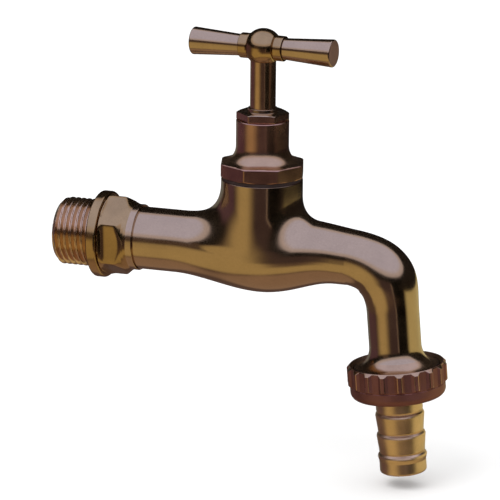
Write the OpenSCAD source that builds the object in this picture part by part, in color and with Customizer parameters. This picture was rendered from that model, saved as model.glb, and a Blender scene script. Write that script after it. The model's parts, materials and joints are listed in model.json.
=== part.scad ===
// Hose bib: a screw-down garden tap with a T-bar handle and a hose union on its spout.
// Millimetres, +Z up. The origin is on the inlet axis, at the shoulder where the inlet
// thread ends; water flows along +X. Rest state: valve shut, union screwed up tight.

/* [Inlet] */
// Major diameter of the inlet pipe thread (G 1/2)
inlet_thread_d = 20.955; // [18:0.001:24]
// Length of the inlet thread in front of the shoulder
inlet_thread_len = 12.6; // [9:0.1:20]
// Bore of the inlet
inlet_bore_d = 14.4; // [9:0.1:15.5]
// Diameter of the round shoulder that the wall gasket seats on
shoulder_d = 26.8; // [25.6:0.1:32]
// Thickness of the round shoulder
shoulder_t = 3.2; // [2:0.1:5]
// Spanner size of the hexagon behind the shoulder
hex_af = 22; // [20.5:0.1:26]
// Length of the hexagon along the pipe
hex_len = 8.2; // [6:0.1:12]
// Diameter of the turned collar behind the hexagon
collar_d = 20.4; // [19.6:0.1:21]
// Length of the turned collar
collar_len = 2.5; // [1.5:0.1:4]

/* [Body casting] */
// Distance from the inlet shoulder to the spindle axis
spindle_x = 52.7; // [46:0.1:66]
// Outside diameter of the inlet pipe
pipe_d = 19.4; // [18.4:0.1:20]
// Depth of the belly below the inlet axis
belly_drop = 13.2; // [12.4:0.1:16]
// Outside diameter of the chimney that takes the bonnet
chimney_d = 24.9; // [23.6:0.1:28]
// Height of the chimney rim above the inlet axis
chimney_top = 22; // [20:0.1:28]
// Fillet between the chimney and the pipes
chimney_fillet = 7.6; // [4:0.1:9]
// Bore of the valve seat
seat_bore_d = 10.5; // [8:0.1:11.5]
// Height of the valve seat face above the inlet axis
seat_z = 3.4; // [2.6:0.1:4.2]

/* [Spout] */
// Distance from the spindle axis to the middle of the union nut's rim
spout_reach = 43.7; // [40:0.1:56]
// Drop from the inlet axis to the union nut's rim
spout_drop = 31.5; // [29:0.1:42]
// Angle that the down leg leans outwards from vertical
spout_tilt = 5; // [0:0.1:8]
// Outside diameter of the spout's down leg
leg_d = 15.9; // [15:0.1:17.5]
// Bore of the spout
spout_bore_d = 10.6; // [8:0.1:11.6]
// Major diameter of the spout thread (G 3/4)
outlet_thread_d = 26.441; // [25:0.001:27]

/* [Bonnet and gland] */
// Width across the flats of the bonnet's octagonal flange
octagon_af = 24.8; // [23.4:0.1:27]
// Thickness of the octagonal flange
octagon_t = 4.4; // [3:0.1:6]
// Outside diameter of the bonnet's neck
bonnet_neck_d = 16.1; // [15.4:0.1:18]
// Height of the bonnet top above the inlet axis
bonnet_top = 40.4; // [37:0.1:46]
// Major diameter of the bonnet thread in the chimney
bonnet_thread_d = 19.8; // [19:0.1:20.4]
// Spanner size of the gland nut
gland_af = 14; // [12.6:0.1:15]
// Height of the gland nut's hexagon
gland_hex_h = 2.6; // [2:0.1:4]

/* [Spindle and handle] */
// Diameter of the spindle shaft
shaft_d = 7.8; // [7:0.1:8.2]
// Major diameter of the spindle's lifting thread
lift_thread_d = 10.4; // [9.6:0.1:10.8]
// Lead of the lifting thread
lift_lead = 2; // [1:0.1:3]
// Turns of the handle from shut to fully open
handle_turns = 2.75; // [1:0.25:3]
// Height of the handle bar above the inlet axis
handle_z = 62.7; // [58:0.1:72]
// Overall length of the handle bar
bar_len = 46; // [38:0.1:60]
// Diameter of the bar at its ends
bar_end_d = 8.5; // [7.6:0.1:10]
// Diameter of the bar beside the hub
bar_root_d = 6.5; // [5.8:0.1:7.2]
// Diameter of the ball in the middle of the bar
ball_d = 11.4; // [10:0.1:13]
// Turn of the handle bar away from the pipe when shut
handle_rest = -4.4; // [-10:0.1:10]

/* [Hose union] */
// Outside diameter over the ridges of the union nut
union_d = 30.6; // [29.8:0.1:34]
// Outside diameter between the ridges
union_root_d = 29.1; // [28.4:0.1:29.6]
// Height of the union nut
union_h = 10.4; // [9:0.1:14]
// Number of grip ridges
union_ridges = 18; // [12:1:24]
// Diameter over the barbs of the hose tail
barb_d = 15; // [14:0.1:16]
// Length of the hose tail below the union nut's rim
tail_reach = 34.2; // [30:0.1:44]
// Bore of the hose tail
tail_bore_d = 10.4; // [8:0.1:11]

/* [Fits] */
// Radial clearance of turning and sliding fits
running_gap = 0.06; // [0.04:0.01:0.1]
// Radial clearance of holes around parts that never touch
free_gap = 0.3; // [0.2:0.05:0.5]

/* [Hidden] */
$fn = 64;
eps = 0.01;

// --- shared finish colours ---
cast_bronze = "#8a6a42";
turned_bronze = "#6b4636";
dark_bronze = "#5a3a30";
fibre = "#7c3b26";
rubber = "#1c1c1c";
graphite = "#34322f";

// --- body, worked out from the driving sizes ---
inlet_bore_r = inlet_bore_d / 2;
hex_start = shoulder_t;
hex_end = hex_start + hex_len;
collar_end = hex_end + collar_len;
groove_w = 0.45;
groove_deep = 0.35;
pipe_r = pipe_d / 2;
chimney_r = chimney_d / 2;
spout_bore_r = spout_bore_d / 2;
leg_r = leg_d / 2;
arm_r = leg_r + 0.75;          // spout where it leaves the belly
bend_r = leg_r + 1.1;          // and half way round its bend

// --- valve chamber ---
gasket_t = 1;
bonnet_thread_r = bonnet_thread_d / 2;
seat_bore_r = seat_bore_d / 2;
seat_lip_h = 1;
chamber_r = bonnet_thread_r - 0.9;
under_seat_r = 5.4;             // passage below the seat
under_seat_z = seat_z - seat_lip_h - 2.3 - under_seat_r;
dive_start = -20;               // where the inlet bore starts to dive
level_z = 0.3;                  // level stretch of the spout bore
bend_in = 21;                   // where the passage down from the chamber levels out
bore_bend_r = 12;
octagon_turn = -5.4;             // flats as they come when screwed up tight
gland_turn = 12.2;

// --- bonnet and stuffing box ---
flange_z = chimney_top + gasket_t;      // underside of the octagonal flange
flange_top = flange_z + octagon_t;
bonnet_skirt_len = 8;
bonnet_skirt_end = flange_z - bonnet_skirt_len;
lift_bore_r = lift_thread_d / 2 + running_gap;
shaft_r = shaft_d / 2;
shaft_hole_r = shaft_r + running_gap;
box_r = bonnet_neck_d / 2 - 1.75;       // stuffing box bore
box_depth = 12;
box_floor = bonnet_top - box_depth;
washer_t = 1;
ring_t = 1.8;
ring_count = 3;
packing_base = box_floor + washer_t;
packing_top = packing_base + ring_count * ring_t;
follower_t = 1.6;
follower_top = packing_top + follower_t;
gland_eye_h = 1.1;
gland_top = bonnet_top + gland_hex_h;

// --- valve ---
washer_rubber_t = 3;
washer_rubber_r = seat_bore_r + 2.2;
jumper_plate_t = 2;
jumper_plate_r = washer_rubber_r + 0.5;
jumper_plate_z = seat_z + washer_rubber_t;
jumper_plate_top = jumper_plate_z + jumper_plate_t;
jumper_stem_r = 3;
jumper_stem_len = 9;
jumper_screw_r = 1.5;
washer_nut_af = 6;
washer_nut_t = 2;
jumper_nose_z = seat_z - washer_nut_t - 0.8;

// --- spindle ---
lift = lift_lead * handle_turns;
spindle_end = jumper_plate_top + 0.05;
lift_bore_end = box_floor - 2.6;        // web under the stuffing box
lift_thread_top = lift_bore_end - lift - 0.6;
spigot_r = 1.3;
spigot_in = 1.2;
tenon_r = 2.6;
ball_r = ball_d / 2;
shaft_top = handle_z - sqrt(ball_r ^ 2 - shaft_r ^ 2);
tenon_top = handle_z + 2.6;
hub_collar_r = bar_root_d / 2 + 0.6;
hub_collar_end = 7.1;
bar_half = bar_len / 2;

// --- union, measured along its own axis down from the nut's rim ---
tilt_dir = 180 - spout_tilt;
outlet_x = spindle_x + spout_reach;
outlet_z = -spout_drop;
outlet_thread_r = outlet_thread_d / 2;
union_floor_t = 1.7;
tail_head_t = 1.5;
union_washer_t = 1.6;
union_seat_s = union_h - union_floor_t;         // inner shoulder of the nut
tail_head_s = union_seat_s - tail_head_t;
spout_face_s = tail_head_s - union_washer_t;
outlet_thread_s = 0.8;
union_thread_r = outlet_thread_r + running_gap;
union_mouth_r = union_root_d / 2 - 0.35;
barb_r = barb_d / 2;
barb_root_r = barb_r - 0.5;
tail_neck_r = barb_r - 0.35;
tail_hole_r = tail_neck_r + running_gap;
tail_bore_r = tail_bore_d / 2;
flare_s = -5.6;                                 // where the spout starts to flare
ridge_len = 6.3;
tail_neck_end = 14.9;

// ---------------------------------------------------------------- helpers

function lerp(a, b, t) = a + (b - a) * t;
function clamp(v, lo, hi) = max(lo, min(hi, v));
// Rises smoothly from 0 to 1 as t goes from 0 to 1.
function ease(t) = 0.5 - 0.5 * cos(180 * clamp(t, 0, 1));
// Quarter round from point a to point b, bulging towards corner c.
function round_pts(a, b, c, n = 8) = [
    for (i = [0 : n])
        let (t = 90 * i / n)
        c + (a - c) * (1 - sin(t)) + (b - c) * (1 - cos(t))
];
// Cubic Bezier point and direction.
function bez(p, t) = let (u = 1 - t)
    p[0] * u ^ 3 + 3 * p[1] * u ^ 2 * t + 3 * p[2] * u * t ^ 2 + p[3] * t ^ 3;
function bez_dir(p, t) = let (u = 1 - t)
    let (d = (p[1] - p[0]) * u ^ 2 + 2 * (p[2] - p[1]) * u * t + (p[3] - p[2]) * t ^ 2)
    d / norm(d);

// Ring, disc or tube from z0 to z1.
module tube(z0, z1, r_out, r_in) {
    translate([0, 0, z0])
        difference() {
            cylinder(h = z1 - z0, r = r_out);
            translate([0, 0, -1])
                cylinder(h = z1 - z0 + 2, r = r_in);
        }
}

// Polygon prism with its corners turned off by cones at the chosen ends.
module spanner_prism(sides, af, h, turn, top_chamfer, bottom_chamfer, top_slope = 0.58) {
    corner_r = af / 2 / cos(180 / sides);
    clear_r = corner_r + 2 * eps;
    proud = corner_r - af / 2;
    intersection() {
        rotate([0, 0, turn])
            cylinder(h = h, r = corner_r, $fn = sides);
        rotate_extrude()
            polygon([
                [0, 0],
                [clear_r - proud * bottom_chamfer, 0],
                [clear_r, (proud * bottom_chamfer + eps) * 0.58],
                [clear_r, h - (proud * top_chamfer + eps) * top_slope],
                [clear_r - proud * top_chamfer, h],
                [0, h]
            ]);
    }
}

module on_spindle() {
    translate([spindle_x, 0, 0]) children();
}

// Turns +Z to point down the spout, with the origin at the union nut's rim.
module on_outlet() {
    translate([outlet_x, 0, outlet_z]) rotate([0, tilt_dir, 0]) children();
}

// Turns +Z to point along +X.
module along_pipe() {
    rotate([0, 90, 0]) children();
}

// ---------------------------------------------------------------- tap body

belly_left = 29;       // how far the belly reaches towards the inlet
belly_right = 27;      // and towards the spout
shoulder_left = 20;

// Height of the arm's underside and top, x measured from the spindle axis.
function arm_under(x) =
    let (peak = -1)
    let (base = x < peak ? pipe_r : arm_r - 0.05)
    let (width = x < peak ? belly_left : belly_right)
    -lerp(belly_drop, base, ease(abs(x - peak) / width));
function arm_over(x) =
    x < 0 ? lerp(pipe_r + 2.1, pipe_r - 0.15, ease(-x / shoulder_left))
          : lerp(pipe_r + 2.1, arm_r + 0.15, ease(x / (belly_right + 3)));
function arm_mid(x) = (arm_over(x) + arm_under(x)) / 2;
function arm_rad(x) = (arm_over(x) - arm_under(x)) / 2;

arm_start = collar_end + groove_w - spindle_x;
bend_start = 24;
down = [sin(spout_tilt), -cos(spout_tilt)];
rim_xz = [spout_reach, -spout_drop];
leg_start = rim_xz - 16 * down;
bend_path = [
    [bend_start, arm_mid(bend_start)],
    [bend_start + 15.5, arm_mid(bend_start) - 1.5],
    leg_start - 13 * down,
    leg_start
];

// A ring of the arm: centre, direction, radius in its own plane and sideways.
ring_sides = 36;
function ring(mid, dir, r) = [
    for (i = [0 : ring_sides - 1])
        let (a = 360 * i / ring_sides)
        let (up = [-dir[1], dir[0]])
        [mid[0] + up[0] * r * cos(a), r * sin(a), mid[1] + up[1] * r * cos(a)]
];
arm_steps = 26;
bend_steps = 12;
arm_rings = concat(
    [for (i = [0 : arm_steps])
        let (x = lerp(arm_start, bend_start, i / arm_steps))
        ring([x, arm_mid(x)], [1, 0], arm_rad(x))],
    [for (i = [1 : bend_steps])
        let (t = i / bend_steps)
        let (r = t < 0.5 ? lerp(arm_rad(bend_start), bend_r, ease(2 * t))
                         : lerp(bend_r, leg_r, ease(2 * t - 1)))
        ring(bez(bend_path, t), bez_dir(bend_path, t), r)],
    [ring(rim_xz + (flare_s + 1) * down, down, leg_r)]
);

// Closed solid through a list of equal rings.
module loft(rings) {
    n = len(rings[0]);
    m = len(rings);
    walls = [
        for (j = [0 : m - 2], i = [0 : n - 1])
            [j * n + i, j * n + (i + 1) % n, (j + 1) * n + (i + 1) % n, (j + 1) * n + i]
    ];
    first = [for (i = [n - 1 : -1 : 0]) i];
    last = [for (i = [0 : n - 1]) (m - 1) * n + i];
    polyhedron([for (r = rings) each r], concat([first, last], walls), convexity = 6);
}

// The fillet between the chimney and the arms: at each height, the distance out from
// the spindle axis at which the two surfaces, run into each other, are met.
function arm_gap(p) = norm([p[1], p[2] - arm_mid(p[0])]) - arm_rad(p[0]);
function chimney_gap(p) = norm([p[0], p[1]]) - chimney_r;
function blend(a, b, k) =
    let (h = max(k - abs(a - b), 0) / k)
    min(a, b) - h * h * k / 4;
// Where the two surfaces run side by side there is nothing to fill.
function facing(p) =
    abs(p[1] * p[1]) / max(norm([p[1], p[2] - arm_mid(p[0])]) * norm([p[0], p[1]]), eps);
// The fillet is a little fuller on the inlet side.
function fillet_at(p) = chimney_fillet * (1 - fillet_lean * p[0] / chimney_r);
function body_gap(p) =
    blend(arm_gap(p), chimney_gap(p), fillet_at(p) * (1 - facing(p) ^ 2) + eps);
function reach_out(a, z, lo, hi, steps) =
    let (mid = (lo + hi) / 2)
    steps == 0 ? mid
    : body_gap([mid * cos(a), mid * sin(a), z]) < -skin_sink
        ? reach_out(a, z, mid, hi, steps - 1)
        : reach_out(a, z, lo, mid, steps - 1);
fillet_lean = 0.12;
saddle_reach = chimney_r + 1.2 * chimney_fillet + 1.5;
saddle_steps = 14;
saddle_top = pipe_r + 1.15 * chimney_fillet + 1;
skin_gap = 0.02;       // step from the lofts up to the turned ends
skin_sink = 0.06;      // the fillet skin lies this far inside the forms it joins
saddle_rings = [
    for (j = [0 : saddle_steps])
        let (z = lerp(saddle_top, -1, j / saddle_steps))
        [for (i = [0 : 47])
            let (a = 360 * i / 48)
            let (d = reach_out(a, z, chimney_r - 2, saddle_reach, 14))
            [d * cos(a), d * sin(a), z]]
];

// The cast skin: resizing by nothing makes one closed shell of the two lofts.
module body_skin() {
    on_spindle()
        resize([0, 0, 0]) {
            loft(arm_rings);
            loft(saddle_rings);
        }
}

// Hexagon with both ends turned off, lying along the pipe.
module inlet_hex() {
    translate([hex_start - 0.2, 0, 0])
        along_pipe()
            spanner_prism(6, hex_af, hex_len + 0.2, 2, 1.2, 0.4, 1.1);
}

// Thread, shoulder, hexagon and collar, turned about the pipe axis.
module inlet_end() {
    collar_r = collar_d / 2;
    thread_r = inlet_thread_d / 2;
    chamfer = 1.4;
    along_pipe()
        rotate_extrude()
            polygon(concat(
                [[0, -inlet_thread_len],
                 [thread_r - chamfer, -inlet_thread_len],
                 [thread_r, -inlet_thread_len + chamfer],
                 [thread_r, 0]],
                round_pts([shoulder_d / 2 - 0.6, 0], [shoulder_d / 2, 0.6],
                          [shoulder_d / 2, 0], 4),
                round_pts([shoulder_d / 2, shoulder_t - 1], [shoulder_d / 2 - 1, shoulder_t],
                          [shoulder_d / 2, shoulder_t], 5),
                [[collar_r + 0.5, shoulder_t],
                 [collar_r + 0.5, hex_end],
                 [collar_r, hex_end + 0.8],
                 [collar_r, collar_end - 0.2],
                 [collar_r - 0.2, collar_end],
                 [pipe_r - groove_deep, collar_end],
                 [pipe_r - groove_deep, collar_end + 1.5],
                 [0, collar_end + 1.5]]
            ));
}

// Flare and thread at the foot of the spout.
module outlet_end() {
    on_outlet()
        rotate_extrude()
            polygon(concat(
                [[0, flare_s], [leg_r + skin_gap, flare_s]],
                round_pts([leg_r + skin_gap, flare_s + 0.2], [outlet_thread_r - 0.2, outlet_thread_s - 0.1],
                          [leg_r, outlet_thread_s - 0.1], 10),
                [[outlet_thread_r, outlet_thread_s + 0.3],
                 [outlet_thread_r, spout_face_s - 0.8],
                 [outlet_thread_r - 0.8, spout_face_s],
                 [0, spout_face_s]]
            ));
}

// Straight run of bore between two points in the plane of the spout, with round ends.
module bore_run(a, b, r) {
    d = b - a;
    translate([a[0], 0, a[1]]) {
        sphere(r = r + skin_gap);
        rotate([0, atan2(d[0], d[1]), 0])
            cylinder(h = norm(d), r = r);
    }
    translate([b[0], 0, b[1]])
        sphere(r = r + skin_gap);
}

// Inlet side: the pipe's bore, then a passage that dives under the seat.
module inlet_passage() {
    translate([-inlet_thread_len - 1, 0, 0])
        along_pipe()
            cylinder(h = inlet_thread_len + 1 + spindle_x + dive_start, r = inlet_bore_r);
    on_spindle() {
        translate([dive_start, 0, 0])
            sphere(r = inlet_bore_r + skin_gap);
        bore_run([dive_start, 0], [-9, under_seat_z], under_seat_r);
        bore_run([-9, under_seat_z], [0, under_seat_z], under_seat_r);
        translate([0, 0, under_seat_z])
            cylinder(h = seat_z - under_seat_z + 1, r = seat_bore_r);
    }
}

// Room for the valve over the seat, and the hole that the bonnet screws into.
module chamber() {
    on_spindle() {
        difference() {
            translate([0, 0, seat_z - seat_lip_h])
                cylinder(h = bonnet_skirt_end - seat_z + seat_lip_h + eps, r = chamber_r);
            translate([0, 0, seat_z - seat_lip_h - 1])
                cylinder(h = seat_lip_h + 1, r1 = seat_bore_r + 2.4, r2 = seat_bore_r + 1.2);
        }
        translate([0, 0, bonnet_skirt_end - 0.6])
            cylinder(h = 40, r = bonnet_thread_r + running_gap);
        translate([0, 0, chimney_top - 0.8])
            cylinder(h = 1, r1 = bonnet_thread_r, r2 = bonnet_thread_r + 1);
    }
}

// Spout side: down out of the chamber, level, round a quarter bend and down the leg.
// A ball at each end of the bend swallows the ends of the runs that meet there.
module spout_passage() {
    corner = [spout_reach - (spout_drop + level_z) * tan(spout_tilt), level_z];
    bend_angle = 90 - spout_tilt;
    tangent = bore_bend_r * tan(bend_angle / 2);
    lap = 0.2;
    on_spindle() {
        bore_run([chamber_r - 0.5, seat_z + 4.4], [bend_in, level_z], spout_bore_r - 0.7);
        translate([bend_in, 0, level_z]) {
            sphere(r = spout_bore_r + skin_gap);
            along_pipe()
                cylinder(h = corner[0] - tangent - bend_in + lap, r = spout_bore_r);
        }
        translate([corner[0] - tangent, 0, level_z]) {
            sphere(r = spout_bore_r + skin_gap);
            translate([0, 0, -bore_bend_r])
                rotate([90, 0, 0])
                    rotate_extrude(angle = bend_angle, start = 90 - bend_angle)
                        translate([bore_bend_r, 0])
                            circle(r = spout_bore_r);
        }
    }
    on_outlet()
        translate([0, 0, tangent - norm(corner - rim_xz)]) {
            sphere(r = spout_bore_r + skin_gap);
            translate([0, 0, -lap])
                cylinder(h = 60, r = spout_bore_r);
        }
}

module tap_body() {
    color(cast_bronze)
        difference() {
            union() {
                body_skin();
                inlet_end();
                inlet_hex();
                outlet_end();
                on_spindle()
                    translate([0, 0, saddle_top - 1])
                        cylinder(h = chimney_top - saddle_top + 1, r = chimney_r);
            }
            inlet_passage();
            chamber();
            spout_passage();
        }
}

// ---------------------------------------------------------------- bonnet and gland

module bonnet_gasket() {
    color(fibre)
        on_spindle()
            tube(chimney_top, flange_z, chimney_r - 0.5, bonnet_thread_r + free_gap);
}

// Octagonal flange, flared neck with the stuffing box, threaded skirt.
module bonnet() {
    neck_r = bonnet_neck_d / 2;
    flare_r = 5;
    color(turned_bronze)
        on_spindle()
            difference() {
                union() {
                    translate([0, 0, flange_z])
                        spanner_prism(8, octagon_af, octagon_t, octagon_turn, 0.15, 1);
                    rotate_extrude()
                        polygon(concat(
                            [[0, bonnet_skirt_end],
                             [bonnet_thread_r - 0.8, bonnet_skirt_end],
                             [bonnet_thread_r, bonnet_skirt_end + 0.8],
                             [bonnet_thread_r, flange_z + 0.5],
                             [octagon_af / 2 - 0.2, flange_z + 0.5],
                             [octagon_af / 2 - 0.2, flange_top]],
                            round_pts([neck_r + flare_r - 0.9, flange_top + 0.1],
                                      [neck_r, flange_top + flare_r], [neck_r, flange_top], 10),
                            [[neck_r, bonnet_top - 0.3],
                             [neck_r - 0.3, bonnet_top],
                             [0, bonnet_top]]
                        ));
                }
                translate([0, 0, bonnet_skirt_end - 1])
                    cylinder(h = lift_bore_end - bonnet_skirt_end + 1, r = lift_bore_r);
                translate([0, 0, bonnet_skirt_end - 1])
                    cylinder(h = bonnet_top, r = shaft_hole_r);
                translate([0, 0, box_floor])
                    cylinder(h = box_depth + 1, r = box_r);
            }
}

module packing_washer() {
    color(turned_bronze)
        on_spindle()
            tube(box_floor, packing_base, box_r - running_gap, shaft_hole_r);
}

// One square ring of graphited packing; number 0 is the lowest.
module packing_ring(number) {
    z = packing_base + number * ring_t;
    color(graphite)
        on_spindle()
            tube(z, z + ring_t, box_r - running_gap, shaft_hole_r);
}

module packing_ring_lower() packing_ring(0);
module packing_ring_middle() packing_ring(1);
module packing_ring_upper() packing_ring(2);

module gland_follower() {
    color(turned_bronze)
        on_spindle()
            tube(packing_top, follower_top, box_r - running_gap, shaft_hole_r);
}

// Low hexagon with a raised eye round the shaft and a threaded skirt in the box.
module gland_nut() {
    eye_r = shaft_r + 0.75;
    color(turned_bronze)
        on_spindle()
            difference() {
                union() {
                    translate([0, 0, bonnet_top])
                        spanner_prism(6, gland_af, gland_hex_h, gland_turn, 1.1, 0, 0.45);
                    translate([0, 0, follower_top])
                        cylinder(h = bonnet_top - follower_top + eps, r = box_r - running_gap);
                    translate([0, 0, gland_top - eps])
                        cylinder(h = gland_eye_h + eps, r1 = eye_r + 0.5, r2 = eye_r - 0.35);
                }
                translate([0, 0, follower_top - 1])
                    cylinder(h = 20, r = shaft_hole_r);
            }
}

// ---------------------------------------------------------------- valve

module jumper() {
    color(turned_bronze)
        on_spindle() {
            translate([0, 0, jumper_plate_z])
                cylinder(h = jumper_plate_t, r = jumper_plate_r);
            translate([0, 0, jumper_plate_top - eps])
                cylinder(h = jumper_stem_len + eps, r = jumper_stem_r);
            translate([0, 0, jumper_nose_z])
                cylinder(h = jumper_plate_z - jumper_nose_z + eps, r = jumper_screw_r);
        }
}

module valve_washer() {
    color(rubber)
        on_spindle()
            tube(seat_z, jumper_plate_z, washer_rubber_r, jumper_screw_r + running_gap);
}

module washer_nut() {
    color(turned_bronze)
        on_spindle()
            difference() {
                translate([0, 0, seat_z - washer_nut_t])
                    spanner_prism(6, washer_nut_af, washer_nut_t, 0, 0, 1);
                translate([0, 0, seat_z - washer_nut_t - 1])
                    cylinder(h = washer_nut_t + 2, r = jumper_screw_r + running_gap);
            }
}

// ---------------------------------------------------------------- spindle and handle

// Turns with the handle, whose bar is set a little off the pipe when the tap is shut.
module on_handle() {
    on_spindle()
        translate([0, 0, handle_z])
            rotate([0, 0, handle_rest])
                children();
}

// Lifting thread below, polished shaft, and a tenon with a cross hole for the arms.
module spindle() {
    color(turned_bronze)
        difference() {
            on_spindle()
                rotate_extrude()
                    polygon([
                        [0, spindle_end],
                        [lift_thread_d / 2 - 0.7, spindle_end],
                        [lift_thread_d / 2, spindle_end + 0.7],
                        [lift_thread_d / 2, lift_thread_top],
                        [shaft_r, lift_thread_top],
                        [shaft_r, shaft_top],
                        [tenon_r, shaft_top],
                        [tenon_r, tenon_top - 0.4],
                        [tenon_r - 0.4, tenon_top],
                        [0, tenon_top]
                    ]);
            on_spindle()
                translate([0, 0, spindle_end - 1])
                    cylinder(h = jumper_stem_len + 1.5, r = jumper_stem_r + running_gap);
            on_handle()
                rotate([0, 90, 0])
                    cylinder(h = 4 * tenon_r, r = spigot_r + running_gap, center = true);
        }
}

// Ball with a turned collar on each side, bored for the tenon and the two spigots.
module handle_hub() {
    color(cast_bronze)
        on_handle()
            difference() {
                union() {
                    intersection() {
                        sphere(r = ball_r);
                        translate([0, 0, shaft_top - handle_z])
                            cylinder(h = 2 * ball_r, r = ball_r + 1);
                    }
                    rotate([0, 90, 0])
                        rotate_extrude()
                            polygon([
                                [0, -hub_collar_end],
                                [hub_collar_r - 0.3, -hub_collar_end],
                                [hub_collar_r, -hub_collar_end + 0.3],
                                [hub_collar_r, hub_collar_end - 0.3],
                                [hub_collar_r - 0.3, hub_collar_end],
                                [0, hub_collar_end]
                            ]);
                }
                translate([0, 0, -ball_r - 1])
                    cylinder(h = ball_r + 1 + tenon_top - handle_z + 0.1, r = tenon_r + running_gap);
                rotate([0, 90, 0])
                    cylinder(h = 2 * hub_collar_end + 2, r = spigot_r + running_gap, center = true);
            }
}

// One arm of the bar, pointing along +X: a cone that widens outwards, with its spigot.
module handle_arm() {
    edge = 0.45;
    rotate([0, 90, 0])
        rotate_extrude()
            polygon(concat(
                [[0, spigot_in],
                 [spigot_r - 0.3, spigot_in],
                 [spigot_r, spigot_in + 0.3],
                 [spigot_r, hub_collar_end],
                 [bar_root_d / 2, hub_collar_end]],
                round_pts([bar_end_d / 2, bar_half - edge], [bar_end_d / 2 - edge, bar_half],
                          [bar_end_d / 2, bar_half], 4),
                [[0, bar_half]]
            ));
}

module handle_arm_right() {
    color(cast_bronze)
        on_handle() handle_arm();
}

module handle_arm_left() {
    color(cast_bronze)
        on_handle() rotate([0, 0, 180]) handle_arm();
}

// ---------------------------------------------------------------- hose union

module union_washer() {
    color(fibre)
        on_outlet()
            tube(spout_face_s, tail_head_s, outlet_thread_r - 0.9, tail_bore_r + 0.3);
}

// Grip ridges of the union nut, as tall bars before their ends are turned off.
module union_ridge_bars() {
    half_foot = 2.9 / 2;
    half_crest = 1.1 / 2;
    for (i = [0 : union_ridges - 1])
        rotate([0, 0, 360 * (i + 0.5) / union_ridges])
            linear_extrude(height = ridge_len)
                polygon([
                    [union_root_d / 2 - 1, -half_foot],
                    [union_root_d / 2 - 0.04, -half_foot],
                    [union_d / 2, -half_crest],
                    [union_d / 2, half_crest],
                    [union_root_d / 2 - 0.04, half_foot],
                    [union_root_d / 2 - 1, half_foot]
                ]);
}

module union_nut() {
    root_r = union_root_d / 2;
    crest_r = union_d / 2;
    proud = crest_r - root_r;
    color(dark_bronze)
        on_outlet()
            difference() {
                union() {
                    rotate_extrude()
                        polygon(concat(
                            [[0, 0], [root_r - 0.15, 0], [root_r, 0.15]],
                            round_pts([root_r, union_h - 2.2], [root_r - 2.2, union_h],
                                      [root_r, union_h], 6),
                            [[0, union_h]]
                        ));
                    intersection() {
                        union_ridge_bars();
                        rotate_extrude()
                            polygon([
                                [0, 0],
                                [root_r - 0.1, 0],
                                [crest_r + 0.1, proud + 0.2],
                                [crest_r + 0.1, ridge_len - proud * 0.8 - 0.1],
                                [root_r - 0.1, ridge_len],
                                [0, ridge_len]
                            ]);
                    }
                }
                translate([0, 0, -1])
                    cylinder(h = union_seat_s + 1, r = union_thread_r);
                translate([0, 0, -eps])
                    cylinder(h = 0.8, r1 = union_mouth_r, r2 = union_thread_r);
                cylinder(h = union_h + 1, r = tail_hole_r);
            }
}

// Height of the barbs' shoulders along the hose tail.
function barb_s(i) = lerp(tail_neck_end, tail_reach - 6.4, i / 2);

// Head that the nut pulls up, neck, three barbs and a plain lead-in at the end.
module hose_tail() {
    shoulder = 1.1;
    color(cast_bronze)
        on_outlet()
            difference() {
                rotate_extrude()
                    polygon(concat(
                        [[0, tail_head_s],
                         [outlet_thread_r - 0.35, tail_head_s],
                         [outlet_thread_r - 0.35, union_seat_s],
                         [tail_neck_r, union_seat_s]],
                        [for (i = [0 : 2])
                            let (s = barb_s(i))
                            let (before = i == 0 ? tail_neck_r : barb_root_r)
                            let (after = i == 2 ? tail_neck_r : barb_root_r)
                            let (next = i == 2 ? s + 2.6 : barb_s(i + 1))
                            each [[before, s], [barb_r - 0.12, s + shoulder - 0.25],
                                  [barb_r, s + shoulder], [barb_r - 0.06, s + shoulder + 0.4],
                                  [after, i == 2 ? next : next - 0.3]]],
                        round_pts([tail_neck_r, tail_reach - 1], [tail_neck_r - 1, tail_reach],
                                  [tail_neck_r, tail_reach], 5),
                        [[0, tail_reach]]
                    ));
                translate([0, 0, tail_head_s - 1])
                    cylinder(h = tail_reach, r = tail_bore_r);
            }
}

// ---------------------------------------------------------------- assembly

tap_body();
bonnet_gasket();
bonnet();
packing_washer();
packing_ring_lower();
packing_ring_middle();
packing_ring_upper();
gland_follower();
gland_nut();
spindle();
handle_hub();
handle_arm_left();
handle_arm_right();
jumper();
valve_washer();
washer_nut();
union_washer();
union_nut();
hose_tail();
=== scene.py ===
"""Looks of a hose bib: a screw-down garden tap in polished bronze with a hose union.

Turned pieces are drawn in millimetres about their own axis, then stood in the frame in metres.
The cast skin is drawn in place, and the pieces inside the tap keep the frame's own shapes.
"""

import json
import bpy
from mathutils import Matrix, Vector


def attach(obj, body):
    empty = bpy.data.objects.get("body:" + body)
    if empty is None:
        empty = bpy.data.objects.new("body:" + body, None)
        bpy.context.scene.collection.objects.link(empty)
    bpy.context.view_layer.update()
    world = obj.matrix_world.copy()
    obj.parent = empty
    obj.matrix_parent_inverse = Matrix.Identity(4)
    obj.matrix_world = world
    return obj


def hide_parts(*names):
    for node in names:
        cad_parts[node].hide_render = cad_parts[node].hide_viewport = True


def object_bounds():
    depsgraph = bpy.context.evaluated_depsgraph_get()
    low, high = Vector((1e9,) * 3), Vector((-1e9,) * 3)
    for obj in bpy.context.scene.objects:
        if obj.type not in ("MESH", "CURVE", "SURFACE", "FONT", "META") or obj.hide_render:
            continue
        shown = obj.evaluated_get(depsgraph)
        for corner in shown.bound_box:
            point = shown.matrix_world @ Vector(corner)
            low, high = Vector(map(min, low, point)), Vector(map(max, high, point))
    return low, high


bl_info = {
    "name": "Hose bib",
    "version": (1, 0, 0),
    "blender": (4, 5, 0),
    "location": "3D View > Sidebar > Hose bib",
    "description": "Builds the tap's pieces, their finishes and a plain studio",
    "category": "Object",
}

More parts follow.
